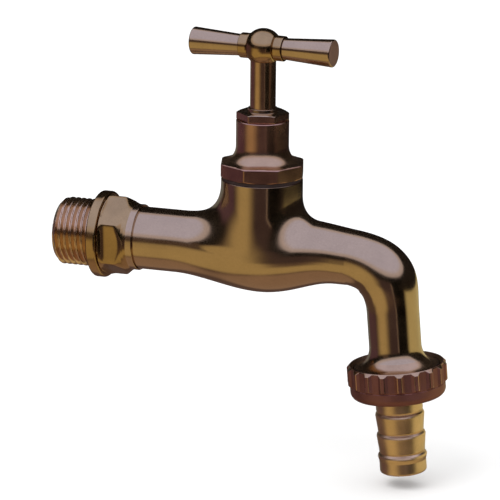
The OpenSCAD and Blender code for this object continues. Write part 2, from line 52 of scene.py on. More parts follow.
from collections import namedtuple
from math import acos, atan2, cos, pi, radians, sin, tan
from types import SimpleNamespace

import bpy
import numpy as np
from bpy.props import FloatProperty, FloatVectorProperty, IntProperty, PointerProperty
from mathutils import Matrix, Vector

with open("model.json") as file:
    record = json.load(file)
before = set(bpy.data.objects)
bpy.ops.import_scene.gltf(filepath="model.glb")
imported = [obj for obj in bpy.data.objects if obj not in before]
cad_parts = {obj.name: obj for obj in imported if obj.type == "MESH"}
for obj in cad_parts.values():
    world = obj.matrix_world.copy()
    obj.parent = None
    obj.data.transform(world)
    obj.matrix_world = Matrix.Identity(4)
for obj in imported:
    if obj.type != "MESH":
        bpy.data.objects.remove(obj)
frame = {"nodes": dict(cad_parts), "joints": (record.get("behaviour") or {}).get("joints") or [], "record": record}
cad_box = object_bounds()

MM = 0.001
JOINTS = {joint["name"]: joint for joint in frame["joints"]}
MOUNTS = {mount["name"]: mount for mount in frame["record"]["mounts"]}
SPINDLE_X = JOINTS["handle_turn"]["pos_m"][0] / MM
HANDLE_Z = JOINTS["handle_turn"]["pos_m"][2] / MM
OUTLET_AXIS = Vector(JOINTS["union_drop"]["axis"]).normalized()
# The union nut's joint is stated this far down the outlet axis from the nut's rim.
NUT_JOINT_S = 5.0
OUTLET_RIM = Vector(JOINTS["union_nut_turn"]["pos_m"]) / MM - NUT_JOINT_S * OUTLET_AXIS
# Both pipe threads have 14 turns to the inch, and are cut 0.64 of their pitch deep.
PIPE_PITCH = 1.814
PIPE_THREAD_DEPTH = 0.64 * PIPE_PITCH
# Room in radius round a shaft, skirt or spigot in its hole.
RUNNING_GAP = 0.06
# Height of the chimney's turned rim over the cast skin.
RIM_H = 0.6


# ---------------------------------------------------------------- sizes and colours

def length(name, description, millimetres):
    """A length that the sidebar shows, stored in metres."""
    return FloatProperty(name=name, description=description, default=millimetres * MM,
                         min=0.0, unit="LENGTH", precision=5)


def colour(name, description, code):
    """A colour that the sidebar shows, given as an sRGB hex code."""
    return FloatVectorProperty(name=name, description=description, subtype="COLOR", size=3,
                               min=0.0, max=1.0, default=linear(code))


def linear(code):
    """Linear colour of an sRGB hex code."""
    parts = [int(code[i:i + 2], 16) / 255 for i in (1, 3, 5)]
    return tuple(c / 12.92 if c <= 0.04045 else ((c + 0.055) / 1.055) ** 2.4 for c in parts)


class BIB_PG_casting(bpy.types.PropertyGroup):
    """Sizes of the body casting."""
    pipe_r: length("Pipe radius", "Outside radius of the inlet pipe", 9.7)
    belly_drop: length("Belly drop", "Depth of the belly below the inlet axis", 13.2)
    belly_left: length("Belly, inlet side", "Reach of the belly towards the inlet", 28.0)
    belly_right: length("Belly, spout side", "Reach of the belly towards the spout", 24.0)
    shoulder_left: length("Back, inlet side", "Reach of the raised back towards the inlet", 20.0)
    shoulder_right: length("Back, spout side", "Reach of the raised back towards the spout", 43.0)
    chimney_r: length("Chimney radius", "Outside radius under the bonnet", 12.45)
    chimney_top: length("Chimney top", "Height of the rim above the inlet axis", 22.0)
    fillet: length("Fillet", "Fillet between the chimney and the arms", 8.8)
    fillet_lean: FloatProperty(name="Fillet lean", default=0.25,
                               description="Share by which the fillet grows towards the inlet")
    leg_r: length("Spout radius", "Radius of the spout's down leg", 7.95)
    bend_start: length("Bend start", "Where the bend leaves the arm, from the spindle axis", 29.2)
    bend_reach: length("Bend reach", "Length of the bend's first handle", 10.7)
    bend_sink: length("Bend sink", "Drop over the bend's first handle", 1.4)
    leg_len: length("Leg", "Straight length of the leg above the nut's rim", 16.0)
    bend_rise: length("Bend rise", "Length of the bend's second handle", 9.3)
    mesh_step: length("Mesh step", "Grid step of the cast skin", 0.45)


class BIB_PG_inlet(bpy.types.PropertyGroup):
    """Sizes of the turned inlet end."""
    thread_len: length("Thread length", "Length of the inlet thread", 12.6)
    bore_r: length("Bore radius", "Radius of the inlet bore", 7.2)
    shoulder_r: length("Shoulder radius", "Radius of the round shoulder", 13.4)
    shoulder_t: length("Shoulder", "Thickness of the round shoulder", 3.2)
    hex_af: length("Hexagon", "Width across the hexagon's flats", 22.0)
    hex_len: length("Hexagon length", "Length of the hexagon along the pipe", 8.2)
    collar_r: length("Collar radius", "Radius of the turned collar", 10.2)
    collar_len: length("Collar", "Length of the turned collar", 2.5)
    groove_w: length("Groove", "Width of the groove behind the collar", 0.45)


class BIB_PG_bonnet(bpy.types.PropertyGroup):
    """Sizes of the bonnet, gland nut and spindle."""
    octagon_af: length("Octagon", "Width across the flats of the flange", 24.8)
    flange_z: length("Flange", "Height of the flange's underside", 23.0)
    flange_t: length("Flange thickness", "Thickness of the flange", 4.4)
    neck_r: length("Neck radius", "Outside radius of the neck", 8.05)
    top: length("Top", "Height of the bonnet's top above the inlet axis", 40.4)
    gland_af: length("Gland hexagon", "Width across the gland nut's flats", 14.0)
    gland_h: length("Gland height", "Height of the gland nut's hexagon", 2.6)
    eye_h: length("Eye height", "Height of the eye round the shaft", 1.1)
    shaft_r: length("Shaft radius", "Radius of the spindle's shaft", 3.9)


class BIB_PG_handle(bpy.types.PropertyGroup):
    """Sizes of the handle bar."""
    ball_r: length("Ball radius", "Radius of the ball in the middle", 5.7)
    half_len: length("Half length", "Half of the bar's length", 23.0)
    root_r: length("Root radius", "Radius of the bar beside the hub", 3.25)
    end_r: length("End radius", "Radius of the bar at its ends", 4.25)
    rest_turn: FloatProperty(name="Rest turn", description="Turn of the bar when the tap is shut",
                             default=radians(-4.4), unit="ROTATION")


class BIB_PG_union(bpy.types.PropertyGroup):
    """Sizes of the union nut and the hose tail."""
    root_r: length("Root radius", "Radius of the nut between its ridges", 14.55)
    crest_r: length("Crest radius", "Radius over the nut's ridges", 15.3)
    nut_h: length("Nut height", "Height of the nut", 10.4)
    ridge_len: length("Ridge length", "Length of the grip ridges", 6.3)
    ridges: IntProperty(name="Ridges", description="Number of grip ridges", default=18, min=6)
    barb_r: length("Barb radius", "Radius over the tail's barbs", 7.5)
    tail_reach: length("Tail reach", "Length of the tail below the nut's rim", 34.2)
    tail_bore_r: length("Tail bore", "Radius of the tail's bore", 5.2)


class BIB_PG_finish(bpy.types.PropertyGroup):
    """Colours of the finishes; a metal's colour tints what it mirrors."""
    cast: colour("Cast bronze", "Polished casting under a dark lacquer", "#BC9F7C")
    turned: colour("Turned bronze", "Turned pieces under the same lacquer", "#BA8F76")
    golden: colour("Golden bronze", "Hexagon, shoulder and hub, where the lacquer is thin", "#AF8E60")
    # Paler than the finish beside it; on the bonnet's flare and the union nut's lower cone it is a painted
    # highlight.
    flare: colour("Flares", "Turned flares and shaft, between golden and brown", "#C09C76")
    satin: colour("Satin bronze", "Brushed hose tail", "#DDB98E")
    faced: colour("Faced bronze", "Ends of the bar, faced off and left dull", "#D4AC8D")
    copper: colour("Thread", "Cut thread, which the lacquer leaves coppery", "#D2B290")
    dark: colour("Dark bronze", "Matt union nut", "#946458")
    bore: colour("Bore", "Unpolished walls of the waterway", "#6B5238")
    brass: colour("Inner brass", "Bare brass inside the valve", "#C9A860")
    # The fibre's own colour, kept this dark also as painted shade: the bonnet's gasket stands for the shadow line
    # under the flange.
    fibre: colour("Fibre", "Dark vulcanised fibre", "#2E1A15")
    rubber: colour("Rubber", "Black moulded rubber", "#1C1C1C")
    graphite: colour("Graphite", "Graphited packing", "#34322F")


def in_mm(group):
    """The group's lengths in millimetres, and its other values as they are."""
    values = {}
    for key, prop in group.bl_rna.properties.items():
        if key in ("name", "rna_type"):
            continue
        value = getattr(group, key)
        values[key] = value / MM if getattr(prop, "unit", "") == "LENGTH" else value
    return SimpleNamespace(**values)


# ---------------------------------------------------------------- outlines

def rounded(points, steps=4):
    """Outline with an arc at each point that has a third value, the arc's radius."""
    made = []
    for i, point in enumerate(points):
        corner = np.array(point[:2], float)
        if len(point) < 3 or i in (0, len(points) - 1):
            made.append(corner)
            continue
        before = np.array(points[i - 1][:2]) - corner
        after = np.array(points[i + 1][:2]) - corner
        room = 0.48 * min(np.linalg.norm(before), np.linalg.norm(after))
        before, after = before / np.linalg.norm(before), after / np.linalg.norm(after)
        half = acos(np.clip(before @ after, -1, 1)) / 2
        reach = min(point[2] / tan(half), room)
        centre = corner + (before + after) / np.linalg.norm(before + after) * reach / cos(half)
        start, end = corner + before * reach - centre, corner + after * reach - centre
        first = atan2(start[1], start[0])
        sweep = (atan2(end[1], end[0]) - first + pi) % (2 * pi) - pi
        made += [centre + np.linalg.norm(start) * np.array([cos(a), sin(a)])
                 for a in first + sweep * np.linspace(0, 1, steps + 1)]
    return np.array(made)


def quarter(start, end, corner, steps=10):
    """Quarter round from start to end that bulges towards the corner."""
    start, end, corner = map(np.array, (start, end, corner))
    return [tuple(corner + (start - corner) * (1 - sin(t)) + (end - corner) * (1 - cos(t)))
            for t in np.linspace(0, pi / 2, steps + 1)]


def dense(outline, step, low, high):
    """The outline with points at most a step apart where its second value is from low to high."""
    made = [outline[0]]
    for a, b in zip(outline[:-1], outline[1:]):
        inside = low - 1e-6 <= min(a[1], b[1]) and max(a[1], b[1]) <= high + 1e-6
        count = max(1, int(np.ceil(np.linalg.norm(b - a) / step))) if inside else 1
        made += [a + (b - a) * k / count for k in range(1, count + 1)]
    return np.array(made)


def soft_min(a, b, k):
    """The lesser of two values, run into each other where they differ by less than k."""
    close = np.maximum(k - np.abs(a - b), 0) / k
    return np.minimum(a, b) - close * close * k / 4


# ---------------------------------------------------------------- forms that break a round

def flats(sides, across, turn, low, high, edge=0.25, foot=0.0, bevel=0.0):
    """Spanner flats from low to high, with a corner at the angle given by turn.

    Corners are rounded off over the edge. A foot is the radius of a fillet at the low end, and
    a bevel breaks both ends of the flats.
    """
    def form(r, s, a):
        step = 2 * pi / sides
        off = (a - turn) % step - step / 2
        climb = foot - np.sqrt(np.maximum(foot ** 2 - np.maximum(foot - s + low, 0) ** 2, 0))
        broken = np.maximum(bevel - np.minimum(s - low, high - s), 0)
        flat = soft_min(r, across / 2 / np.cos(off) + climb - broken, edge)
        return np.where((s > low) & (s < high), flat, r)
    return form


def corner_radius(sides, across):
    """Radius over a prism's corners, a hair more so that the flats cut the whole round."""
    return across / 2 / cos(pi / sides) + 0.02


def half_chord(ball_r, off):
    """Half width of a ball, this far off its middle."""
    return (ball_r ** 2 - off ** 2) ** 0.5


def flat_angles(sides, turn, round_steps=96):
    """Angles for a prism: close together at its corners, even elsewhere."""
    near = radians(1) * np.array([-5, -3.5, -2.4, -1.6, -1, -0.5, 0, 0.5, 1, 1.6, 2.4, 3.5, 5])
    corners = [turn + 2 * pi * k / sides for k in range(sides)]
    even = np.linspace(0, 2 * pi, round_steps, endpoint=False)
    far = [a for a in even
           if min(abs((a - c + pi) % (2 * pi) - pi) for c in corners) > radians(6)]
    return np.sort(np.concatenate([far] + [(c + near) % (2 * pi) for c in corners]))


def screw(major_r, pitch, depth, low, high, fade=0.8):
    """Right-hand thread with rounded crests and roots, which runs out over the fade at high."""
    # Widths of the root and the flank as shares of half a pitch, and how curved the flank is.
    root, flank_w, curved = 0.14, 0.74, 0.35

    def form(r, s, a):
        wave = np.abs(2 * ((s / pitch - a / (2 * pi)) % 1) - 1)
        flank = np.clip((wave - root) / flank_w, 0, 1)
        cut = depth * (1 - flank * flank * (3 - 2 * flank) * curved - flank * (1 - curved))
        cut = cut * np.clip((high - s) / fade, 0, 1)
        return np.where((s > low) & (s < high), np.minimum(r, major_r - cut), r)
    return form


# ---------------------------------------------------------------- meshes

# Points, faces of four corners (a triangle repeats its last), finish of all or of each face,
# and normals or None.
Shell = namedtuple("Shell", "points faces finish normals")


def lathe(outline, angles=128, form=None, finish=0, place=None):
    """Turns an outline of (radius, height) about Z; a form may change the radius by angle.

    The finish is a number in the piece's list of finishes, for all of it or for each stretch of
    the outline.
    """
    if np.isscalar(angles):
        angles = np.linspace(0, 2 * pi, angles, endpoint=False)
    r, s = np.meshgrid(outline[:, 0], angles, indexing="ij")[0], outline[:, 1][:, None]
    s = np.broadcast_to(s, r.shape)
    a = np.broadcast_to(angles[None, :], r.shape)
    if form:
        r = form(r, s, a)
    points = np.stack([r * np.cos(a), r * np.sin(a), s], axis=-1).reshape(-1, 3)
    rows, columns = len(outline), len(angles)
    closed = outline[0][0] > 1e-6 and np.allclose(outline[0], outline[-1])
    j, i = np.meshgrid(np.arange(rows - 1), np.arange(columns), indexing="ij")
    after, up = (i + 1) % columns, (j + 1) % (rows - 1) if closed else j + 1
    faces = np.stack([j * columns + i, j * columns + after, up * columns + after, up * columns + i],
                     axis=-1).reshape(-1, 4)
    if place is not None:
        points = moved(points, place)
    if not np.isscalar(finish):
        finish = np.repeat(finish, columns)
    return Shell(points, faces, finish, None)


def moved(points, place):
    """Points in millimetres, moved by a matrix whose shift is in millimetres."""
    turn = np.array(place.to_3x3())
    return points @ turn.T + np.array(place.translation)


def corner_normals(points, faces, sharp=radians(38)):
    """Normals of the corners, weighted by area and kept apart across sharp edges."""
    p = points[faces]
    weight = np.cross(p[:, 2] - p[:, 0], p[:, 3] - p[:, 1])
    unit = weight / np.maximum(np.linalg.norm(weight, axis=1, keepdims=True), 1e-12)
    corner_point = faces.ravel()
    order = np.argsort(corner_point, kind="stable")
    point, face = corner_point[order], np.repeat(np.arange(len(faces)), 4)[order]
    total = weight[face].copy()
    shift = 1
    while shift < len(point):
        same = point[shift:] == point[:-shift]
        if not same.any():
            break
        a, b = face[:-shift], face[shift:]
        near = np.flatnonzero(same & ((unit[a] * unit[b]).sum(axis=1) > cos(sharp)))
        total[near] += weight[b[near]]
        total[near + shift] += weight[a[near]]
        shift += 1
    made = np.empty_like(total)
    made[order] = total / np.maximum(np.linalg.norm(total, axis=1, keepdims=True), 1e-12)
    return made.reshape(-1, 4, 3)


def make_piece(name, shells, finishes, body, replaced, place=None):
    """One object from its shells, riding on a body in place of a CAD node."""
    points, faces, normals, indices, start = [], [], [], [], 0
    for shell in shells:
        unique, index = np.unique(np.round(shell.points, 5), axis=0, return_inverse=True)
        corners = index.ravel()[shell.faces]
        if shell.normals is None:
            corner = corner_normals(unique, corners)
        else:
            by_point = np.zeros_like(unique)
            by_point[index.ravel()] = shell.normals
            corner = by_point[corners]
        for four, normal, look in zip(corners, corner, np.broadcast_to(shell.finish, len(corners))):
            kept = [k for k in range(4) if four[k] != four[k - 1]]
            if len(kept) > 2:
                faces.append([int(four[k]) + start for k in kept])
                normals += [normal[k] for k in kept]
                indices.append(int(look))
        points.append(unique)
        start += len(unique)
    mesh = bpy.data.meshes.new(name)
    mesh.from_pydata(np.concatenate(points) * MM, [], faces)
    mesh.polygons.foreach_set("use_smooth", [True] * len(faces))
    mesh.polygons.foreach_set("material_index", indices)
    mesh.normals_split_custom_set(normals)
    mesh.validate(clean_customdata=False)
    for finish_name in finishes:
        mesh.materials.append(finish_named(finish_name))
    piece = bpy.data.objects.new(name, mesh)
    bpy.context.scene.collection.objects.link(piece)
    if place is not None:
        piece.matrix_world = Matrix.Translation(place.translation * MM) @ place.to_3x3().to_4x4()
    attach(piece, body)
    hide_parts(replaced)
    return piece


# ---------------------------------------------------------------- places

def along_pipe():
    """Local Z along the pipe, from the face of the inlet's shoulder."""
    return Matrix.Rotation(pi / 2, 4, "Y")


def on_spindle():
    """Local Z up the spindle, from the height of the inlet axis."""
    return Matrix.Translation((SPINDLE_X, 0, 0))


def on_outlet():
    """Local Z down the outlet, from the union nut's rim."""
    return Matrix.Translation(OUTLET_RIM) @ Matrix.Rotation(
        pi - atan2(OUTLET_AXIS.x, -OUTLET_AXIS.z), 4, "Y")


def on_bar(turn, side):
    """Local Z out along one arm of the handle bar."""
    return (Matrix.Translation((SPINDLE_X, 0, HANDLE_Z)) @ Matrix.Rotation(turn, 4, "Z")
            @ Matrix.Rotation(side * pi / 2, 4, "Y"))


# ---------------------------------------------------------------- the cast skin

def ease(t):
    """Rises smoothly from 0 to 1 as t goes from 0 to 1."""
    return 0.5 - 0.5 * np.cos(pi * np.clip(t, 0, 1))


class Casting:
    """The outer form of the casting: distance to it, negative inside.

    The arm is a round of changing radius along a centreline in the plane of the spout.
    The chimney stands on it, and a fillet runs the two into each other.
    """

    steps = 700
    # The nearest point is looked for among one in so many, for a block of places at a time, and
    # closed in on in so many rounds. The stretch that the bend gives a round has its limits.
    stride, block, closings = 12, 20000, 6
    least_stretch, most_stretch = 0.35, 3
    # Points on each side that the centreline's direction is averaged over.
    smoothing = 12
    # The centreline starts this far from the shoulder's face, and the belly is deepest this far
    # from the spindle axis.
    line_start, belly_x = 8, 0.5
    # Radius that the raised back and the middle of the bend have beyond the pipe and the leg.
    back_rise, bend_swell = 2.1, 1.1
    # The belly ends this far beyond the leg's radius, and the back this far within the pipe's
    # and the leg's.
    belly_end, back_end_pipe, back_end_leg = 0.55, 0.15, 0.4
    # The fillet begins at this height and is full this much higher. Where it leans, it stays
    # between these shares of its size.
    fillet_low, fillet_climb = -4, 7
    least_fillet, most_fillet = 0.5, 1.5

    def __init__(self, size):
        self.size = size
        x = np.linspace(-SPINDLE_X + self.line_start, size.bend_start, self.steps)
        middle = (self.over(x) + self.under(x)) / 2
        radius = (self.over(x) - self.under(x)) / 2
        slope = np.gradient(middle, x)
        arm = np.stack([x, middle, radius / np.sqrt(1 + slope ** 2)], axis=1)
        rim = np.array([OUTLET_RIM.x - SPINDLE_X, OUTLET_RIM.z])
        down = np.array([OUTLET_AXIS.x, OUTLET_AXIS.z])
        leg = rim - size.leg_len * down
        start = arm[-1, :2]
        hold = [start, start + [size.bend_reach, -size.bend_sink], leg - size.bend_rise * down, leg]
        t = np.linspace(0, 1, self.steps)[1:, None]
        bend = (hold[0] * (1 - t) ** 3 + 3 * hold[1] * (1 - t) ** 2 * t
                + 3 * hold[2] * (1 - t) * t ** 2 + hold[3] * t ** 3)
        half_way = size.leg_r + self.bend_swell
        t = t[:, 0]
        bend_r = np.where(t < 0.5, arm[-1, 2] + (half_way - arm[-1, 2]) * ease(2 * t),
                          half_way + (size.leg_r - half_way) * ease(2 * t - 1))
        end = np.append(rim + 2 * down, size.leg_r)
        line = np.concatenate([arm, np.column_stack([bend, bend_r]), [end]])
        run = np.insert(np.cumsum(np.hypot(*np.diff(line[:, :2], axis=0).T)), 0, 0)
        self.run = np.linspace(0, run[-1], 2 * self.steps)
        self.line = np.stack([np.interp(self.run, run, line[:, k]) for k in range(3)], axis=1)
        way = np.gradient(self.line[:, :2], self.run, axis=0)
        window = np.ones(2 * self.smoothing + 1) / (2 * self.smoothing + 1)
        way = np.stack([np.convolve(np.pad(way[:, k], self.smoothing, mode="edge"), window, "valid")
                        for k in (0, 1)], axis=1)
        self.way = way / np.linalg.norm(way, axis=1, keepdims=True)
        self.bent = np.gradient(np.unwrap(np.arctan2(self.way[:, 1], self.way[:, 0])), self.run)

    def under(self, x):
        """Height of the arm's underside, x measured from the spindle axis."""
        size, peak = self.size, self.belly_x
        base = np.where(x < peak, size.pipe_r, size.leg_r + self.belly_end)
        width = np.where(x < peak, size.belly_left, size.belly_right)
        return -(size.belly_drop + (base - size.belly_drop) * ease(np.abs(x - peak) / width))

    def over(self, x):
        """Height of the arm's top."""
        size = self.size
        high = size.pipe_r + self.back_rise
        end = np.where(x < 0, size.pipe_r - self.back_end_pipe, size.leg_r - self.back_end_leg)
        width = np.where(x < 0, size.shoulder_left, size.shoulder_right)
        return high + (end - high) * ease(np.abs(x) / width)

    def foot(self, x, z):
        """Nearest run along the centreline: its point and the arm's radius there."""
        coarse = self.line[::self.stride]
        shape = np.shape(x)
        x, z = np.ravel(x), np.ravel(z)
        nearest = np.empty(len(x), int)
        for k in range(0, len(x), self.block):
            part = slice(k, k + self.block)
            gap = (x[part, None] - coarse[:, 0]) ** 2 + (z[part, None] - coarse[:, 1]) ** 2
            nearest[part] = gap.argmin(axis=1)
        run = self.run[::self.stride][nearest]
        for _ in range(self.closings):
            cx, cz, wx, wz, bent = (np.interp(run, self.run, v) for v in (
                self.line[:, 0], self.line[:, 1], self.way[:, 0], self.way[:, 1], self.bent))
            ahead = (x - cx) * wx + (z - cz) * wz
            aside = (z - cz) * wx - (x - cx) * wz
            stretch = np.clip(1 - bent * aside, self.least_stretch, self.most_stretch)
            run = np.clip(run + ahead / stretch, 0, self.run[-1])
        cx, cz, r = (np.interp(run, self.run, self.line[:, k]) for k in range(3))
        return cx.reshape(shape), cz.reshape(shape), r.reshape(shape)

    def gap(self, x, y, z, foot=None):
        """Distance to the skin, x measured from the spindle axis."""
        size = self.size
        cx, cz, r = foot if foot is not None else self.foot(x, z)
        across = np.sqrt((x - cx) ** 2 + (z - cz) ** 2 + y ** 2)
        arm = across - r
        out = np.hypot(x, y)
        chimney = np.sqrt(out ** 2 + np.minimum(z, 0) ** 2) - size.chimney_r
        facing = y * y / np.maximum(across * out, 0.01)
        fillet = size.fillet * (1 - size.fillet_lean * x / size.chimney_r)
        fillet = np.clip(fillet, self.least_fillet * size.fillet, self.most_fillet * size.fillet)
        above = ease((z - self.fillet_low) / self.fillet_climb)
        return soft_min(arm, chimney, fillet * above * (1 - np.clip(facing, 0, 1) ** 2) + 0.01)

    def slope(self, points, step=0.02):
        """Gradient of the distance at each point."""
        made = np.empty_like(points)
        for axis in range(3):
            shift = np.zeros(3)
            shift[axis] = step
            ahead, behind = (points + shift).T, (points - shift).T
            made[:, axis] = (self.gap(*ahead) - self.gap(*behind)) / (2 * step)
        return made


def net(gap_at, low, high, step):
    """Points and faces of a net drawn over the zero of a grid of distances."""
    axes = [np.arange(a, b + step, step) for a, b in zip(low, high)]
    value = gap_at(*axes)
    inside = value < 0
    near = [inside[i:len(axes[0]) - 1 + i, j:len(axes[1]) - 1 + j, k:len(axes[2]) - 1 + k]
            for i in (0, 1) for j in (0, 1) for k in (0, 1)]
    count = np.sum(near, axis=0)
    cells = (count > 0) & (count < 8)
    index = np.full(cells.shape, -1)
    index[cells] = np.arange(cells.sum())
    where = np.argwhere(cells)
    points = np.stack([axes[k][where[:, k]] + step / 2 for k in range(3)], axis=1)
    faces = []
    for axis in range(3):
        one, two = [k for k in range(3) if k != axis]
        here = inside.take(range(inside.shape[axis] - 1), axis)
        ahead = inside.take(range(1, inside.shape[axis]), axis)
        crossing = np.argwhere(here != ahead)
        crossing = crossing[(crossing[:, one] > 0) & (crossing[:, two] > 0)
                            & (crossing[:, one] < cells.shape[one])
                            & (crossing[:, two] < cells.shape[two])]
        ring = []
        for back_one, back_two in ((1, 1), (0, 1), (0, 0), (1, 0)):
            cell = crossing.copy()
            cell[:, one] -= back_one
            cell[:, two] -= back_two
            ring.append(index[tuple(cell.T)])
        face = np.stack(ring, axis=1)
        outwards = here[tuple(crossing.T)] ^ (axis == 1)
        faces.append(np.where(outwards[:, None], face, face[:, ::-1]))
    faces = np.concatenate(faces)
    return points, faces[(faces >= 0).all(axis=1)]


def trimmed(points, faces, at, way):
    """The net cut by a plane; what lies past it, in the direction given, is dropped."""
    at, way = np.array(at, float), np.array(way, float)
    past = (points - at) @ way
    kept = faces[(past[faces] < 0).any(axis=1)]
    over = past > 0
    points = points.copy()
    points[over] -= past[over, None] * way
    return points, kept


def turned_len(inlet):
    """Length of the inlet's turned end, from the shoulder's face to the cast skin."""
    return inlet.shoulder_t + inlet.hex_len + inlet.collar_len + inlet.groove_w


def cast_skin(size, inlet, flare_s):
    """Skin of the casting between its three turned ends."""
    casting = Casting(size)
    arm_start = turned_len(inlet) - SPINDLE_X
    skin_top = size.chimney_top - RIM_H
    rim = np.array([OUTLET_RIM.x - SPINDLE_X, 0, OUTLET_RIM.z])
    axis = np.array(OUTLET_AXIS)
    step = size.mesh_step
    # How often the points are pulled to the skin, and the least squared slope to pull them by.
    rounds, least_slope = 5, 0.2
    # The box that the grid fills, with room round the skin.
    low = (arm_start - 2 * step, -size.chimney_r - 2, OUTLET_RIM.z - 1)
    high = (rim[0] + size.leg_r + 4, size.chimney_r + 2, skin_top + 2 * step)

    def gap_at(x, y, z):
        foot = casting.foot(*np.meshgrid(x, z, indexing="ij"))
        foot = [part[:, None, :] for part in foot]
        return casting.gap(x[:, None, None], y[None, :, None], z[None, None, :], foot)

    points, faces = net(gap_at, low, high, step)
    for _ in range(rounds):
        slope = casting.slope(points)
        steepness = (slope ** 2).sum(axis=1, keepdims=True)
        points -= casting.gap(*points.T)[:, None] * slope / np.maximum(steepness, least_slope)
    for at, way in (((arm_start, 0, 0), (-1, 0, 0)), ((0, 0, skin_top), (0, 0, 1)),
                    (rim + flare_s * axis, axis)):
        points, faces = trimmed(points, faces, at, way)
    normals = casting.slope(points)
    normals /= np.linalg.norm(normals, axis=1, keepdims=True)
    return casting, Shell(points + [SPINDLE_X, 0, 0], faces, 0, normals)


def waterway(casting, inlet, size, flare_s, finish):
    """Walls of the bore and valve chamber, taken over from the solid casting."""
    mesh = frame["nodes"]["tap_body"].data
    mesh.calc_loop_triangles()
    points = np.empty(len(mesh.vertices) * 3)
    mesh.vertices.foreach_get("co", points)
    points = points.reshape(-1, 3) / MM
    faces = np.empty(len(mesh.loop_triangles) * 3, int)
    mesh.loop_triangles.foreach_get("vertices", faces)
    faces = faces.reshape(-1, 3)
    middle = points[faces].mean(axis=1)
    x, y, z = middle.T
    down = (middle - np.array(OUTLET_RIM)) @ np.array(OUTLET_AXIS)
    off_outlet = np.linalg.norm(middle - np.array(OUTLET_RIM) - down[:, None] * OUTLET_AXIS, axis=1)
    # Only what lies well under the skin is kept, and in the turned ends only what is in the bore.
    wall, chimney_wall_r, spout_wall_r = 0.35, 10.1, 5.4
    kept = casting.gap(x - SPINDLE_X, y, z) < -wall
    kept = np.where(x < turned_len(inlet) + 1, np.hypot(y, z) < inlet.bore_r + 0.1, kept)
    kept = np.where(z > size.chimney_top - 1.5,
                    np.hypot(x - SPINDLE_X, y) < chimney_wall_r, kept)
    kept = np.where(down > flare_s - 0.5, off_outlet < spout_wall_r, kept)
    chosen = faces[kept]
    return Shell(points, np.column_stack([chosen, chosen[:, 2]]), finish, None)


# ---------------------------------------------------------------- finishes

# The lathe's feed of about 0.1 mm is drawn wider, so that its rings show.
RING_STEP = 0.3


def add(tree, kind, settings=None, links=None, **values):
    """Adds a node, sets its properties and input values, and links its inputs."""
    node = tree.nodes.new(kind)
    for key, value in (settings or {}).items():
        setattr(node, key, value)
    for key, value in values.items():
        node.inputs[key.replace("_", " ")].default_value = value
    for key, source in (links or {}).items():
        target = node.inputs[key]
        if hasattr(source, "outputs"):
            source = source.outputs[0]
        if isinstance(source, (int, float)):
            target.default_value = source
        else:
            tree.links.new(source, target)
    return node


def math(tree, operation, *inputs):
    """Result of a maths node on sockets or numbers."""
    return add(tree, "ShaderNodeMath", {"operation": operation}, dict(enumerate(inputs))).outputs[0]


def new_finish(name):
    """An empty material, its node tree and its output."""
    material = bpy.data.materials.new(name)
    material.use_nodes = True
    tree = material.node_tree
    tree.nodes.clear()
    return material, tree, add(tree, "ShaderNodeOutputMaterial")


def noise(tree, where, size, detail):
    """Noise in patches about that many millimetres across."""
    return add(tree, "ShaderNodeTexNoise", links={"Vector": where},
               Scale=1 / (size * MM), Detail=detail).outputs["Fac"]


def spread(tree, value, low, high):
    """The middle of a noise's range, spread from low to high."""
    return add(tree, "ShaderNodeMapRange", links={"Value": value},
               From_Min=0.3, From_Max=0.7, To_Min=low, To_Max=high).outputs[0]


def tinted(tree, shader, tint, strength):
    """Gives the shader a tint, scaled by the strength."""
    base = add(tree, "ShaderNodeVectorMath", {"operation": "SCALE"}, {"Scale": strength})
    base.inputs[0].default_value = tint
    tree.links.new(base.outputs[0], shader.inputs["Base Color"])


def bumped(tree, shader, height, output):
    """Gives the shader a bump of that height in metres, and links it to the output."""
    bump = add(tree, "ShaderNodeBump", links={"Height": height}, Strength=1.0, Distance=1.0)
    tree.links.new(bump.outputs[0], shader.inputs["Normal"])
    tree.links.new(shader.outputs[0], output.inputs["Surface"])


def lacquered_bronze(name, tint, roughness, grain, wave=0.0, turned=0.0, mottle=0.12):
    """Bronze under dark lacquer: a tinted mirror, softened by polish marks and slow ripples.

    grain and wave are bump depths in millimetres, and turned is the depth of the lathe's rings.
    """
    _, tree, output = new_finish(name)
    where = add(tree, "ShaderNodeTexCoord").outputs["Object"]
    shader = add(tree, "ShaderNodeBsdfPrincipled", Metallic=1.0)
    cloud = noise(tree, where, size=7, detail=3.0)
    speck = noise(tree, where, size=0.5, detail=2.0)
    strength = math(tree, "MULTIPLY", spread(tree, cloud, 1 - mottle, 1 + mottle),
                    spread(tree, speck, 0.96, 1.04))
    tinted(tree, shader, tint, strength)
    rough = spread(tree, cloud, roughness * 0.85, roughness * 1.2)
    tree.links.new(rough, shader.inputs["Roughness"])
    ripple = noise(tree, where, size=5, detail=1.0)
    height = math(tree, "ADD", math(tree, "MULTIPLY", ripple, wave * MM),
                  math(tree, "MULTIPLY", speck, grain * MM))
    if turned:
        place = add(tree, "ShaderNodeSeparateXYZ", links={"Vector": where})
        ring = math(tree, "SINE", math(tree, "MULTIPLY", place.outputs["Z"],
                                       2 * pi / (RING_STEP * MM)))
        height = math(tree, "ADD", height, math(tree, "MULTIPLY", ring, turned * MM))
    bumped(tree, shader, height, output)


def matt_solid(name, tint, roughness, grain, size, metallic=0.0):
    """A dull piece out of sight: fibre, rubber, packing or bare brass, with its own grain."""
    _, tree, output = new_finish(name)
    where = add(tree, "ShaderNodeTexCoord").outputs["Object"]
    shader = add(tree, "ShaderNodeBsdfPrincipled", Metallic=metallic, Roughness=roughness)
    speck = noise(tree, where, size, detail=4.0)
    tinted(tree, shader, tint, spread(tree, speck, 0.8, 1.2))
    bumped(tree, shader, math(tree, "MULTIPLY", speck, grain * MM), output)


